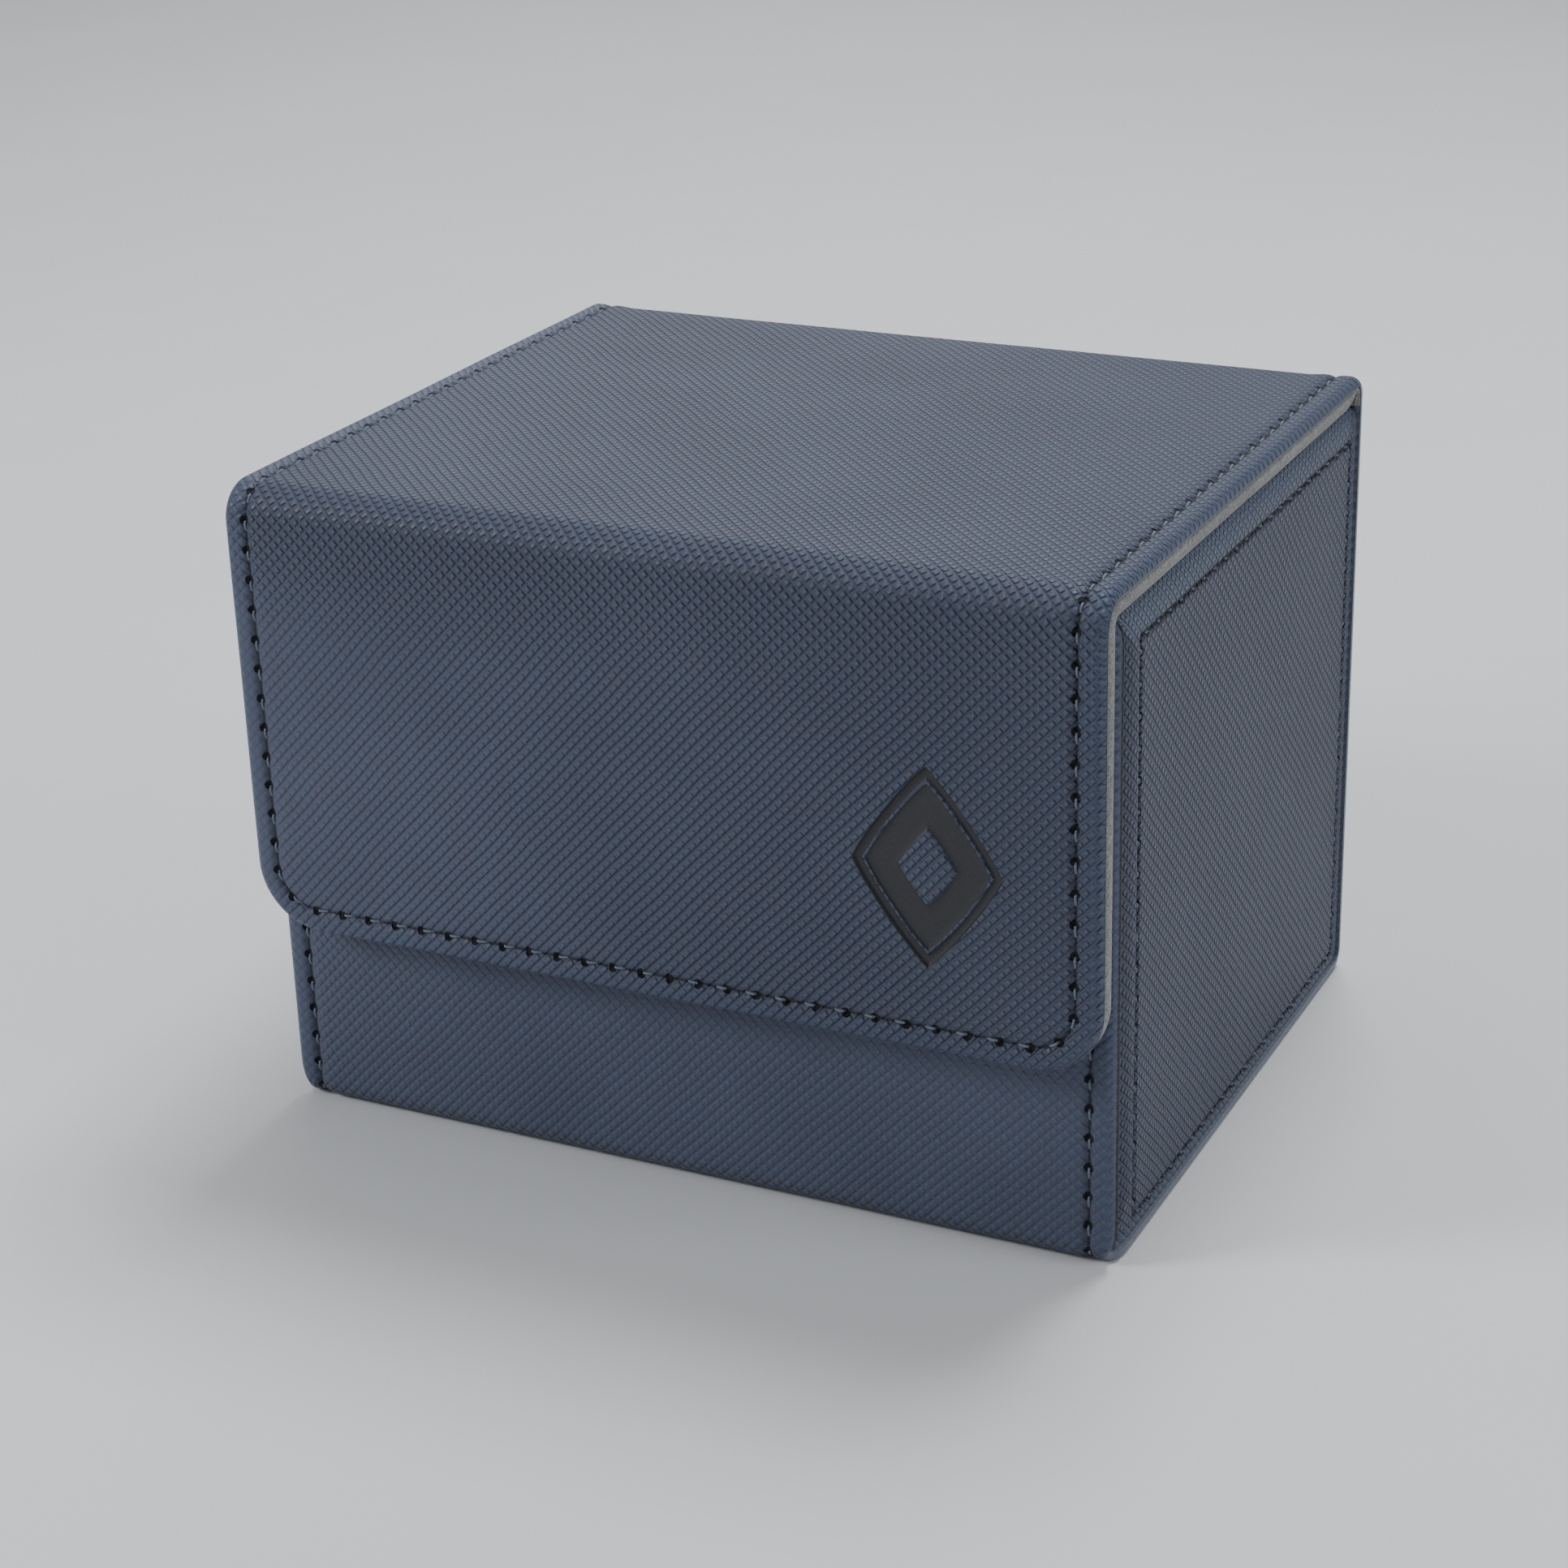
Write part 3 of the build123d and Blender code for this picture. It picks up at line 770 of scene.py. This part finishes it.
rear_skin = strip_skin("rear_skin", band_sheet(BASE_COLUMNS, REAR_ROWS))
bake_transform(rear_skin)
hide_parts("lid_cover", "hinge_cover", "back_cover")


def base_top(x, s, edge):
    """As strip_top, with the strip's free end rolled over at the top of the front wall."""
    end = STRIP.length - s
    return np.minimum(strip_top(x, s, edge), -roll(end, 0.95))


def gaps_inside(x, s, low_corner, high_corner):
    """Distances to a rectangle's edges, in the order low x, high x, low s, high s."""
    return x - low_corner[0], high_corner[0] - x, s - low_corner[1], high_corner[1] - s


def rounded(x, s, low_corner, high_corner, radii):
    """Points of a rectangle with its corners drawn in to radii = (lower, upper)."""
    x, s = x.copy(), s.copy()
    for end, radius in enumerate(radii):
        gap_s = s - low_corner[1] if end == 0 else high_corner[1] - s
        for side in (0, 1):
            gap_x = x - low_corner[0] if side == 0 else high_corner[0] - x
            u = np.clip((radius - gap_x) / radius, 0, 1)
            v = np.clip((radius - gap_s) / radius, 0, 1)
            move_x = radius * u * (1 - np.sqrt(1 - v * v / 2))
            move_s = radius * v * (1 - np.sqrt(1 - u * u / 2))
            x += move_x if side == 0 else -move_x
            s += move_s if end == 0 else -move_s
    return x, s


SQUARE = 0.001  # a corner radius too small to see
FREE_CORNER = 2.2  # radius of the corners at the top of the front wall
LOWER_FOLD = (S_LOWER + S_FRONT) / 2
DRAWN_IN = 0.9  # how far the lower front corners are drawn in


def on_base(x, s, h):
    """As on_strip, with the corners of the strip's free end rounded and its lower front corners drawn in."""
    px, ps = rounded(x, s, (-HALF, S_MID_BACK), (HALF, STRIP.length), (SQUARE, FREE_CORNER))
    draw = DRAWN_IN * np.exp(-(((ps - LOWER_FOLD) / 1.9) ** 2)) * smooth(HALF - ROW, HALF, np.abs(px))
    return on_strip(px - np.sign(px) * draw, ps, h)


base_skin = strip_skin("base_skin", band_sheet(BASE_COLUMNS, BASE_ROWS), on_base, base_top)
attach(base_skin, "case")
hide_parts("front_cover", "bottom_cover")

# ---- flat panels

WAVE = 0.06  # height of the linings' small waves
PAD_LINES = [0, 0.04, 0.12, 0.25, 0.4, 0.6, 0.9, 1.4, 2.0, 3.0]
NEAR_ROW = [-0.55, -0.38, -0.25, -0.15, -0.07, 0, 0.07, 0.15, 0.25, 0.38, 0.55, 0.85, 1.3, 2.0]


def row_lines(row):
    """Distances from a panel's edge at which its net has points, for a stitch row at that distance."""
    roll_lines = [0, 0.05, 0.15, 0.3, 0.5, 0.8]
    return joined(roll_lines, steps(0.8, row, 0.45), [row + d for d in NEAR_ROW])


def panel_sheet(low_corner, high_corner, lines, spacing, rows=None):
    """The net of a rectangular panel. lines has the distances of its points from each edge, and rows how far
    its stitch rows are from the edges, both in the order low x, high x, low s, high s."""
    sheet = Sheet()
    values = []
    for axis in (0, 1):
        start, end = low_corner[axis], high_corner[axis]
        near, far = start + np.array(lines[2 * axis]), end - np.array(lines[2 * axis + 1])
        values.append(joined(near, steps(near.max(), far.min(), spacing), far))
    grid = []
    for s in values[1]:
        line = []
        for x in values[0]:
            gaps = gaps_inside(x, s, low_corner, high_corner)
            seam = (0.0, NO_SEAM)
            if rows is not None:
                inner = [gap - row for gap, row in zip(gaps, rows)]
                nearest = inner.index(min(inner))
                ends = inner[2:] if nearest < 2 else inner[:2]
                seam = (min(ends), min(inner))
            line.append(sheet.point(x, s, min(gaps), seam))
        grid.append(line)
    sheet.net(grid)
    return sheet


# Codes for a side panel's border in side_look's tint, which leather() tells apart: painted shade along the front
# border, and a painted highlight on the top roll
FRONT_BORDER = -1.0
TOP_ROLL = -2.0
# The side panels' edges: how far the roll reaches in, how deep it drops, and how far in the stitches are
SIDE_FRONT_EDGE = (5.6, 1.3, 6.4)
SIDE_REAR_EDGE = (0.5, 0.12, 2.2)
SIDE_BOTTOM_EDGE = (0.5, 0.12, 1.6)
SIDE_TOP_EDGE = (3.8, 0.85, 4.2)


def side_frame(side, node):
    """The corners of a side panel on its own sheet, and its edges in the order low x, high x, low s, high s.
    side is -1 on the left and 1 on the right."""
    ends = sorted(side * y for y in (low(node, Y), high(node, Y)))
    across = (SIDE_FRONT_EDGE, SIDE_REAR_EDGE) if side > 0 else (SIDE_REAR_EDGE, SIDE_FRONT_EDGE)
    return (ends[0], low(node, Z)), (ends[1], high(node, Z)), (*across, SIDE_BOTTOM_EDGE, SIDE_TOP_EDGE)


def side_skin(part, side):
    """A side panel's leather, a pillow over its board."""
    node = part + "_cover"
    low_corner, high_corner, edges = side_frame(side, node)
    rows = [row for _reach, _drop, row in edges]

    def place(x, s, h):
        px, ps = rounded(x, s, low_corner, high_corner, (BEND - COVER, 1.5))
        return np.stack([side * (SIDE + h), side * px, ps], 1)

    def side_top(x, s, edge):
        gaps = gaps_inside(x, s, low_corner, high_corner)
        drops = []
        for gap, (reach, drop, _row) in zip(gaps, edges):
            inside = np.clip(1 - gap / reach, 0, 1)
            drops.append(drop * (1 - np.sqrt(1 - inside**2)))
        from_row = np.min([gap - row for gap, row in zip(gaps, rows)], axis=0)
        seam = SEAM_DEPTH * np.exp(-((from_row / 0.34) ** 2))
        return -np.max(drops, axis=0) - seam + ripple(x, s, 19.0, 0.05)

    def side_look(x, s):
        """Painted shade along the front edge, a painted highlight along the top roll, and a painted highlight on
        the rim at the rear and the bottom.
        """
        low_gap, high_gap, bottom_gap, top_gap = gaps_inside(x, s, low_corner, high_corner)
        front_gap, rear_gap = (low_gap, high_gap) if side > 0 else (high_gap, low_gap)
        painted_shading = np.where(front_gap < top_gap, FRONT_BORDER, TOP_ROLL)
        # 0.9 gives a painted highlight on the rim at the rear and the bottom
        tint = np.where(np.minimum(front_gap, top_gap) > np.minimum(rear_gap, bottom_gap), 0.9, painted_shading)
        return np.full(len(x), 1.2), np.full(len(x), 0.8), tint, np.ones(len(x))

    sheet = panel_sheet(low_corner, high_corner, [row_lines(r) for r in rows], 1.6, rows)
    name, under = part + "_skin", flat(-SIDE_DEPTH)
    piece = closed(name, sheet, place, side_top, under, [LEATHER], edge_rows=2, look=side_look)
    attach(piece, "case")
    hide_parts(node)


SIDES = (("left", -1), ("right", 1))
for part, side in SIDES:
    side_skin(part, side)


def pad(name, corner, across, up, size, thickness, radius, material):
    """A flat panel with rolled edges. corner is its lowest corner on its outer face, across and up are the
    directions of its size, and it lies thickness deep behind that face."""
    corner, across, up = (np.array(v, float) for v in (corner, across, up))
    normal = np.cross(across, up)

    def place(x, s, h):
        return corner + x[:, None] * across + s[:, None] * up + h[:, None] * normal

    piece = closed(
        name,
        panel_sheet((0, 0), size, [PAD_LINES] * 4, 2.0),
        place,
        lambda x, s, edge: ripple(x, s, 15.0, WAVE) - WAVE - roll(edge, radius),
        flat(-thickness),
        [material],
    )
    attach(piece, "case")
    return piece


BAY_HALF = high("bottom_lining", X)
LINING = high("bottom_lining", Z) - low("bottom_lining", Z)
BAY_FRONT = high("front_lining", Y)
BAY_BACK = low("back_lining", Y)
BAY_FLOOR = high("bottom_lining", Z)
RIM = LINING / 2

WIDE = 2 * BAY_HALF
DEEP = BAY_BACK - BAY_FRONT + 2 * LINING  # the floor's lining goes under the walls' linings
SIDE_FRONT, SIDE_BACK = low("left_lining", Y), high("left_lining", Y)
SIDE_SIZE = (SIDE_BACK - SIDE_FRONT, CASE_TOP - COVER)
RIGHT, FORWARD, BACKWARD, UP = (1, 0, 0), (0, -1, 0), (0, 1, 0), (0, 0, 1)
LININGS = [
    # part, corner, across, up, size, radius of the rolled edge
    ("bottom", (-BAY_HALF, BAY_FRONT - LINING, BAY_FLOOR), RIGHT, BACKWARD, (WIDE, DEEP), 0.2),
    ("front", (BAY_HALF, BAY_FRONT, BAY_FLOOR), (-1, 0, 0), UP, (WIDE, CASE_TOP - BAY_FLOOR), RIM),
    ("left", (-BAY_HALF, SIDE_FRONT, COVER), BACKWARD, UP, SIDE_SIZE, RIM),
    ("right", (BAY_HALF, SIDE_BACK, COVER), FORWARD, UP, SIDE_SIZE, RIM),
]
for part, corner, across, up, size, radius in LININGS:
    piece = pad(part + "_pad", corner, across, up, size, LINING, radius, MICROFIBRE)
    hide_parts(part + "_lining")

# The front wall's leather turns in over its board, and the back wall's lining turns back over its own.
TUCK = 0.2  # how far the rim goes under the wall's own leather
pad(
    "front_rim", (-BAY_HALF, FRONT + COVER - TUCK, CASE_TOP), RIGHT, BACKWARD,
    (WIDE, low("front_lining", Y) - FRONT - COVER + TUCK), COVER, 0.3, LEATHER,
)

BACK_RUN = Strip(
    (BAY_BACK, BAY_FLOOR),
    90,
    [
        ("straight", CASE_TOP - BAY_FLOOR - LINING),
        ("turn", LINING),
        ("straight", BACK - COVER - BAY_BACK - LINING - 0.15),
    ],
)


def back_sheet():
    sheet = Sheet()
    bend = BACK_RUN.starts()[1]
    rows = joined(steps(0, bend - 1, 2.0), steps(bend - 1, BACK_RUN.length, 0.15))
    near = np.array(PAD_LINES) - BAY_HALF
    columns = joined(near, steps(near[-1], -near[-1], 2.0), -near)
    sheet.net([[sheet.point(x, s, BAY_HALF - abs(x)) for x in columns] for s in rows])
    return sheet


back_pad = closed(
    "back_pad",
    back_sheet(),
    along_path(BACK_RUN),
    lambda x, s, edge: ripple(x, s, 15.0, WAVE) - WAVE - roll(edge, 0.3) - roll(BACK_RUN.length - s, 0.3),
    flat(-LINING),
    [MICROFIBRE],
)
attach(back_pad, "case")
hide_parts("back_lining")

# ---- linings of the lid, fold and flap

NAP_LINES = [0, 0.08, 0.2, 0.4, 0.7, 1.1, 1.6, 2.1, 2.5, 2.75, 3.0, 3.25, 3.5, 3.9, 4.6, 5.6, 6.8, 8.0]
LINING_IN = 0.42  # the linings stand this far in from the leather's rim
LINING_TOP = -COVER - 0.06  # just under the leather's own underside
FLAP_PADDING = 0.85  # how far the soft linings stand beyond the flap's and the lid's own thickness
LID_PADDING = 0.15


def nap_rim(t):
    """How far the lining's cut edge bulges, from its top at 0 to its bottom at 1."""
    return 0.42 * math.sin(math.pi * t) ** 0.5


def flap_padding(s):
    """How far the linings are padded: more on the flap than on the lid."""
    return LID_PADDING + (FLAP_PADDING - LID_PADDING) * (1 - smooth(S_FOLD, S_LID + 2, s))


def lining_relief(x, s, edge):
    """Height of the lining's face over its own flat: rolled rim, pulled-down seam and small waves."""
    seam = 0.3 * np.exp(-(((edge - ROW) / 0.45) ** 2))
    return roll(edge, 0.28) + seam + WAVE - ripple(x, s, 14.0, WAVE)


def flap_lining_bottom(x, s, edge):
    """The lining is thickest on the flap, where it lies against the front wall."""
    return -WALL - flap_padding(s) + lining_relief(x, s, edge)


def rear_lining_bottom(x, s, edge):
    """The lid's lining thins before the rear hinge, and only the cloth itself goes round the bend."""
    depth = WALL + LID_PADDING
    depth -= (depth - COVER - LINING) * smooth(S_HINGE - 2.8, S_HINGE + 0.2, s)
    return -depth + lining_relief(x, s, edge) * np.where(s > S_HINGE - 2, 0.4, 1.0)


def on_lining(x, s, h):
    """As on_strip, with the sheet drawn in a little at its sides and at the flap's lower edge."""
    narrow = x * (HALF - LINING_IN) / HALF
    return on_strip(narrow, s + LINING_IN * np.clip(1 - s / INNER, 0, 1), h)


PAD_COLUMNS = steps(INNER - HALF, HALF - INNER, 2.0)
FLAP_PAD_ROWS = joined(
    steps(INNER, S_FOLD - 2, 1.8), steps(S_FOLD - 2, S_LID + 2, 0.4), steps(S_LID + 2, S_MID_LID, 1.8)
)
S_HINGE_END = S_BACK + TOP - BEND - CASE_TOP
LID_PAD_ROWS = joined(
    steps(S_MID_LID, S_HINGE - 8, 1.8), steps(S_HINGE - 8, S_HINGE, 0.5), steps(S_HINGE, S_HINGE_END, 0.25)
)


def strip_lining(name, sheet, bottom):
    """A soft lining under a length of the strip, with a cut, bulging edge."""
    top = flat(LINING_TOP)
    return closed(name, sheet, on_lining, top, bottom, [MICROFIBRE], edge_rows=6, bulge=nap_rim)


flap_pad = strip_lining("flap_pad", flap_sheet(PAD_COLUMNS, FLAP_PAD_ROWS, NAP_LINES), flap_lining_bottom)
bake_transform(flap_pad)
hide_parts("flap_lining", "fold_lining")

lid_pad = strip_lining("lid_pad", band_sheet(PAD_COLUMNS, LID_PAD_ROWS, NAP_LINES), rear_lining_bottom)
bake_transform(lid_pad)
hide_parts("lid_lining", "hinge_lining")

# ---- stitches

THREAD_SIZE = 0.17  # radius of the thread
ROUND = 7  # points round a thread
ALONG = 11  # rings of points along a stitch


def row_at(along):
    """Where a place on the strip's seam lies on the sheet. 0 is the middle of the flap's lower row."""
    straight, reach = HALF - INNER, INNER - ROW
    distance = np.abs(along)
    turn = np.clip((distance - straight) / reach, 0, math.pi / 2)
    up = np.maximum(distance - straight - reach * math.pi / 2, 0)
    x = np.minimum(distance, straight) + reach * np.sin(turn)
    s = ROW + reach * (1 - np.cos(turn)) + up
    return np.sign(along) * x, s


def stitch_path(k, row, flip, begin=0.04, span=0.42, lift=0.0):
    """Sheet places and heights of the part of a stitch that shows, from hole k towards hole k + 1. begin and
    span are shares of the pitch."""
    t = np.linspace(0, 1, ALONG)
    way = -1 if flip else 1
    along = (k + 1 - 0.5 * way + (t * span + begin) * way) * PITCH
    height = lift - 0.76 + 0.38 * np.sin(math.pi * t**0.6) ** 0.7 - 0.12 * t
    return (*row(along), height)


def thread_mesh(name, stitches, place):
    """Tubes along the stitches. place(x, s, h) gives points in space."""
    points, faces, twist = [], [], []
    for number, (x, s, height) in enumerate(stitches):
        centre = place(x, s, height)
        up = place(x, s, height + 1.0) - centre
        ahead = np.gradient(centre, axis=0)
        ahead /= np.linalg.norm(ahead, axis=1)[:, None]
        side = np.cross(ahead, up)
        side /= np.linalg.norm(side, axis=1)[:, None]
        up = np.cross(side, ahead)
        base = len(points)
        for i in range(len(x)):
            for j in range(ROUND):
                a = 2 * math.pi * j / ROUND
                points.append(centre[i] + THREAD_SIZE * (math.cos(a) * side[i] + math.sin(a) * up[i]))
                twist.append((number * 0.37 + i * PITCH / (ALONG - 1), j / ROUND, 0))
        for i in range(len(x) - 1):
            for j in range(ROUND):
                a, b = base + i * ROUND + j, base + i * ROUND + (j + 1) % ROUND
                faces.append([a, b, b + ROUND, a + ROUND])
        faces.append([base + j for j in reversed(range(ROUND))])
        faces.append([len(points) - ROUND + j for j in range(ROUND)])
    piece = mesh(name, np.array(points), faces, {"twist": twist}, [THREAD], smooth_angle=180)
    return piece


def strip_stitches(start, end):
    """Stitches of both rows where their middles lie between two places on the strip."""
    straight = HALF - INNER + (INNER - ROW) * math.pi / 2
    last = int((straight + end - INNER) / PITCH) + 1
    found = []
    for k in range(-last - 1, last + 1):
        x, s, height = stitch_path(k, row_at, k >= 0)
        middle = s[ALONG // 2]
        if start <= middle < end and s.max() < STRIP.length - 0.8:
            found.append((x, s, height))
    return found


def inner_stitches(stitches):
    """The same rows on the lining's face."""
    return [(x, s, -WALL - flap_padding(s) - height - 0.2) for x, s, height in stitches]


outside = strip_stitches(0, S_MID_LID)
flap_thread = thread_mesh("flap_thread", outside + inner_stitches(outside), on_strip)
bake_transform(flap_thread)
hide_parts("flap_stitching")

outside = strip_stitches(S_MID_LID, S_MID_BACK)
inside = [one for one in inner_stitches(outside) if one[1].max() < S_HINGE - 8]
rear_thread = thread_mesh("rear_thread", outside + inside, on_strip)
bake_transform(rear_thread)
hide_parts("lid_stitching", "back_stitching")

base_thread = thread_mesh("base_thread", strip_stitches(S_MID_BACK, STRIP.length), on_strip)
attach(base_thread, "case")
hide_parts("front_stitching", "bottom_stitching")


def side_thread(part, side):
    """The four straight rows round a side panel, each mirrored about its own middle."""
    low_corner, high_corner, edges = side_frame(side, part + "_cover")
    low_x, high_x = low_corner[0] + edges[0][2], high_corner[0] - edges[1][2]
    low_s, high_s = low_corner[1] + edges[2][2], high_corner[1] - edges[3][2]
    runs = []
    for s in (low_s, high_s):
        runs += [((low_x, s), (1, 0), high_x - low_x), ((high_x, s), (-1, 0), high_x - low_x)]
    for x in (low_x, high_x):
        runs += [((x, low_s), (0, 1), high_s - low_s), ((x, high_s), (0, -1), high_s - low_s)]
    stitches = []
    for begin, heading, length in runs:
        begin, heading = np.array(begin), np.array(heading)

        def row(along, begin=begin, heading=heading):
            point = begin + along[:, None] * heading
            return point[:, 0], point[:, 1]

        count = int(length / 2 / PITCH - 0.5) + 1
        stitches += [stitch_path(k, row, False, -0.09, 0.18, 0.26) for k in range(count)]

    def place(x, s, h):
        return np.stack([side * (SIDE + h), side * x, s], 1)

    piece = thread_mesh(part + "_thread", stitches, place)
    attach(piece, "case")
    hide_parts(part + "_stitching")


for part, side in SIDES:
    side_thread(part, side)

# ---- emblem

# Rings from the outside in: size of the lozenge, height, and 1 for leather or 0 for the pressed floor
EMBLEM_RINGS = [
    (1.10, POCKET, 1), (1.10, -0.20, 1), (1.095, -0.04, 1), (1.08, 0.015, 1), (1.02, 0.02, 1),
    (1.0, -0.02, 1), (0.99, -0.10, 0), (0.98, -0.28, 0), (0.965, -0.38, 0), (0.93, -0.42, 0),
    (0.885, -0.42, 0), (0.87, -0.34, 1), (0.862, -0.2, 1), (0.85, -0.15, 1), (0.838, -0.15, 1),
    (0.826, -0.2, 1), (0.818, -0.34, 0), (0.80, -0.42, 0), (0.7, -0.42, 0), (0.5, -0.42, 0),
    (0.40, -0.42, 0), (0.385, -0.34, 1), (0.372, -0.18, 1), (0.35, -0.10, 1), (0.30, -0.06, 1),
    (0.2, -0.03, 1), (0.1, -0.02, 1),
]
EMBLEM_STEPS = 120
EMBLEM_TOP = -0.02


def emblem_mesh():
    """The emblem as one closed piece: leather lips, and a pressed floor between them."""
    faces, slots, places = [], [], []
    power = 2 / EMBLEM_ROUND
    outline = []
    for i in range(EMBLEM_STEPS):
        turn = 2 * math.pi * i / EMBLEM_STEPS
        across, up = math.cos(turn), math.sin(turn)
        outline.append((math.copysign(abs(across) ** power, across), math.copysign(abs(up) ** power, up)))
    for size, height, _leather in EMBLEM_RINGS:
        a, b = EMBLEM_A * size, EMBLEM_B * size
        places += [(EMBLEM_X + x * a, EMBLEM_S + s * b, height) for x, s in outline]
    places += [(EMBLEM_X, EMBLEM_S, EMBLEM_TOP), (EMBLEM_X, EMBLEM_S, POCKET)]
    places = np.array(places)
    points = on_strip(places[:, 0], places[:, 1], places[:, 2])
    following = [(i, (i + 1) % EMBLEM_STEPS) for i in range(EMBLEM_STEPS)]
    for r in range(len(EMBLEM_RINGS) - 1):
        outer, inner = r * EMBLEM_STEPS, (r + 1) * EMBLEM_STEPS
        faces += [[outer + i, outer + j, inner + j, inner + i] for i, j in following]
        slots += [0 if EMBLEM_RINGS[r][2] and EMBLEM_RINGS[r + 1][2] else 1] * EMBLEM_STEPS
    last = (len(EMBLEM_RINGS) - 1) * EMBLEM_STEPS
    top = last + EMBLEM_STEPS
    for i, j in following:
        faces += [[last + i, last + j, top], [j, i, top + 1]]
        slots += [0, 1]
    cloth = np.stack([places[:, 0], places[:, 1], HALF - np.abs(places[:, 0])], 1)
    seam = np.tile((0.0, NO_SEAM, 0.0), (len(places), 1))
    hatch = np.stack(strip_look(places[:, 0], places[:, 1])[:3], 1)
    looks = {"cloth": cloth, "seam": seam, "hatch": hatch}
    return mesh("emblem", points, faces, looks, [LEATHER, PRESSED], slots, 60)


emblem = emblem_mesh()
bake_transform(emblem)
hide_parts("flap_emblem")

# ---- boards and magnets, hidden inside

HIDDEN = {"board": greyboard(), "magnets": nickel(), "lining": MICROFIBRE, "stitching": THREAD}
for node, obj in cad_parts.items():
    obj.data.materials.clear()
    obj.data.materials.append(HIDDEN.get(node.split("_")[-1], LEATHER))

# ---- floor, lights and camera


def floor_material():
    n = Nodes("floor")
    mottle = n.noise(n.place(), 30.0, 3.0)
    colour = n.mix(mottle, (0.66, 0.665, 0.67), (0.70, 0.705, 0.71))
    return n.finish(colour, 0.7)


FLOOR_REACH = 12.0  # metres each way
MIDDLE = Vector((0, 0, TOP * MM / 2))


def add_floor():
    data = bpy.data.meshes.new("floor")
    corners = [(x * FLOOR_REACH, y * FLOOR_REACH, 0) for x, y in ((-1, -1), (1, -1), (1, 1), (-1, 1))]
    data.from_pydata(corners, [], [(0, 1, 2, 3)])
    data.materials.append(floor_material())
    add("floor", data)


def add_light(name, place, size, power, colour=(1, 1, 1)):
    """A round lamp that points at the middle of the box."""
    data = bpy.data.lights.new(name, "AREA")
    data.shape = "DISK"
    data.size = size
    data.energy = power
    data.color = colour
    light = add(name, data)
    light.location = place
    light.rotation_euler = (MIDDLE - Vector(place)).to_track_quat("-Z", "Y").to_euler()


add_floor()
add_light("key", (0.06, 0.34, 0.86), 0.4, 7.2, (0.95, 0.97, 1.0))
add_light("fill", (-0.62, -0.50, 0.52), 0.3, 4.4, (0.96, 0.98, 1.0))
add_light("front", (-0.30, -0.95, 0.20), 0.5, 0.5)
add_light("side", (0.95, 0.05, 0.42), 0.45, 3.1, (0.95, 0.975, 1.0))
add_light("sheen", (-0.45, 0.85, 0.50), 0.6, 1.2)

world = bpy.data.worlds.new("studio")
world.use_nodes = True
background = world.node_tree.nodes["Background"]
background.inputs["Color"].default_value = (0.9, 0.94, 1.0, 1)
background.inputs["Strength"].default_value = 0.3
bpy.context.scene.world = world

# The camera was fitted to the box's straight edges in the photo.
camera_data = bpy.data.cameras.new("camera")
camera_data.sensor_width = 36.0
camera_data.lens = 75.249
camera_data.clip_start = 0.01
camera = add("camera", camera_data)
camera.location = (0.161041, -0.331896, 0.188963)
camera.rotation_euler = tuple(math.radians(a) for a in (67.245, 1.636, 25.924))
bpy.context.scene.camera = camera
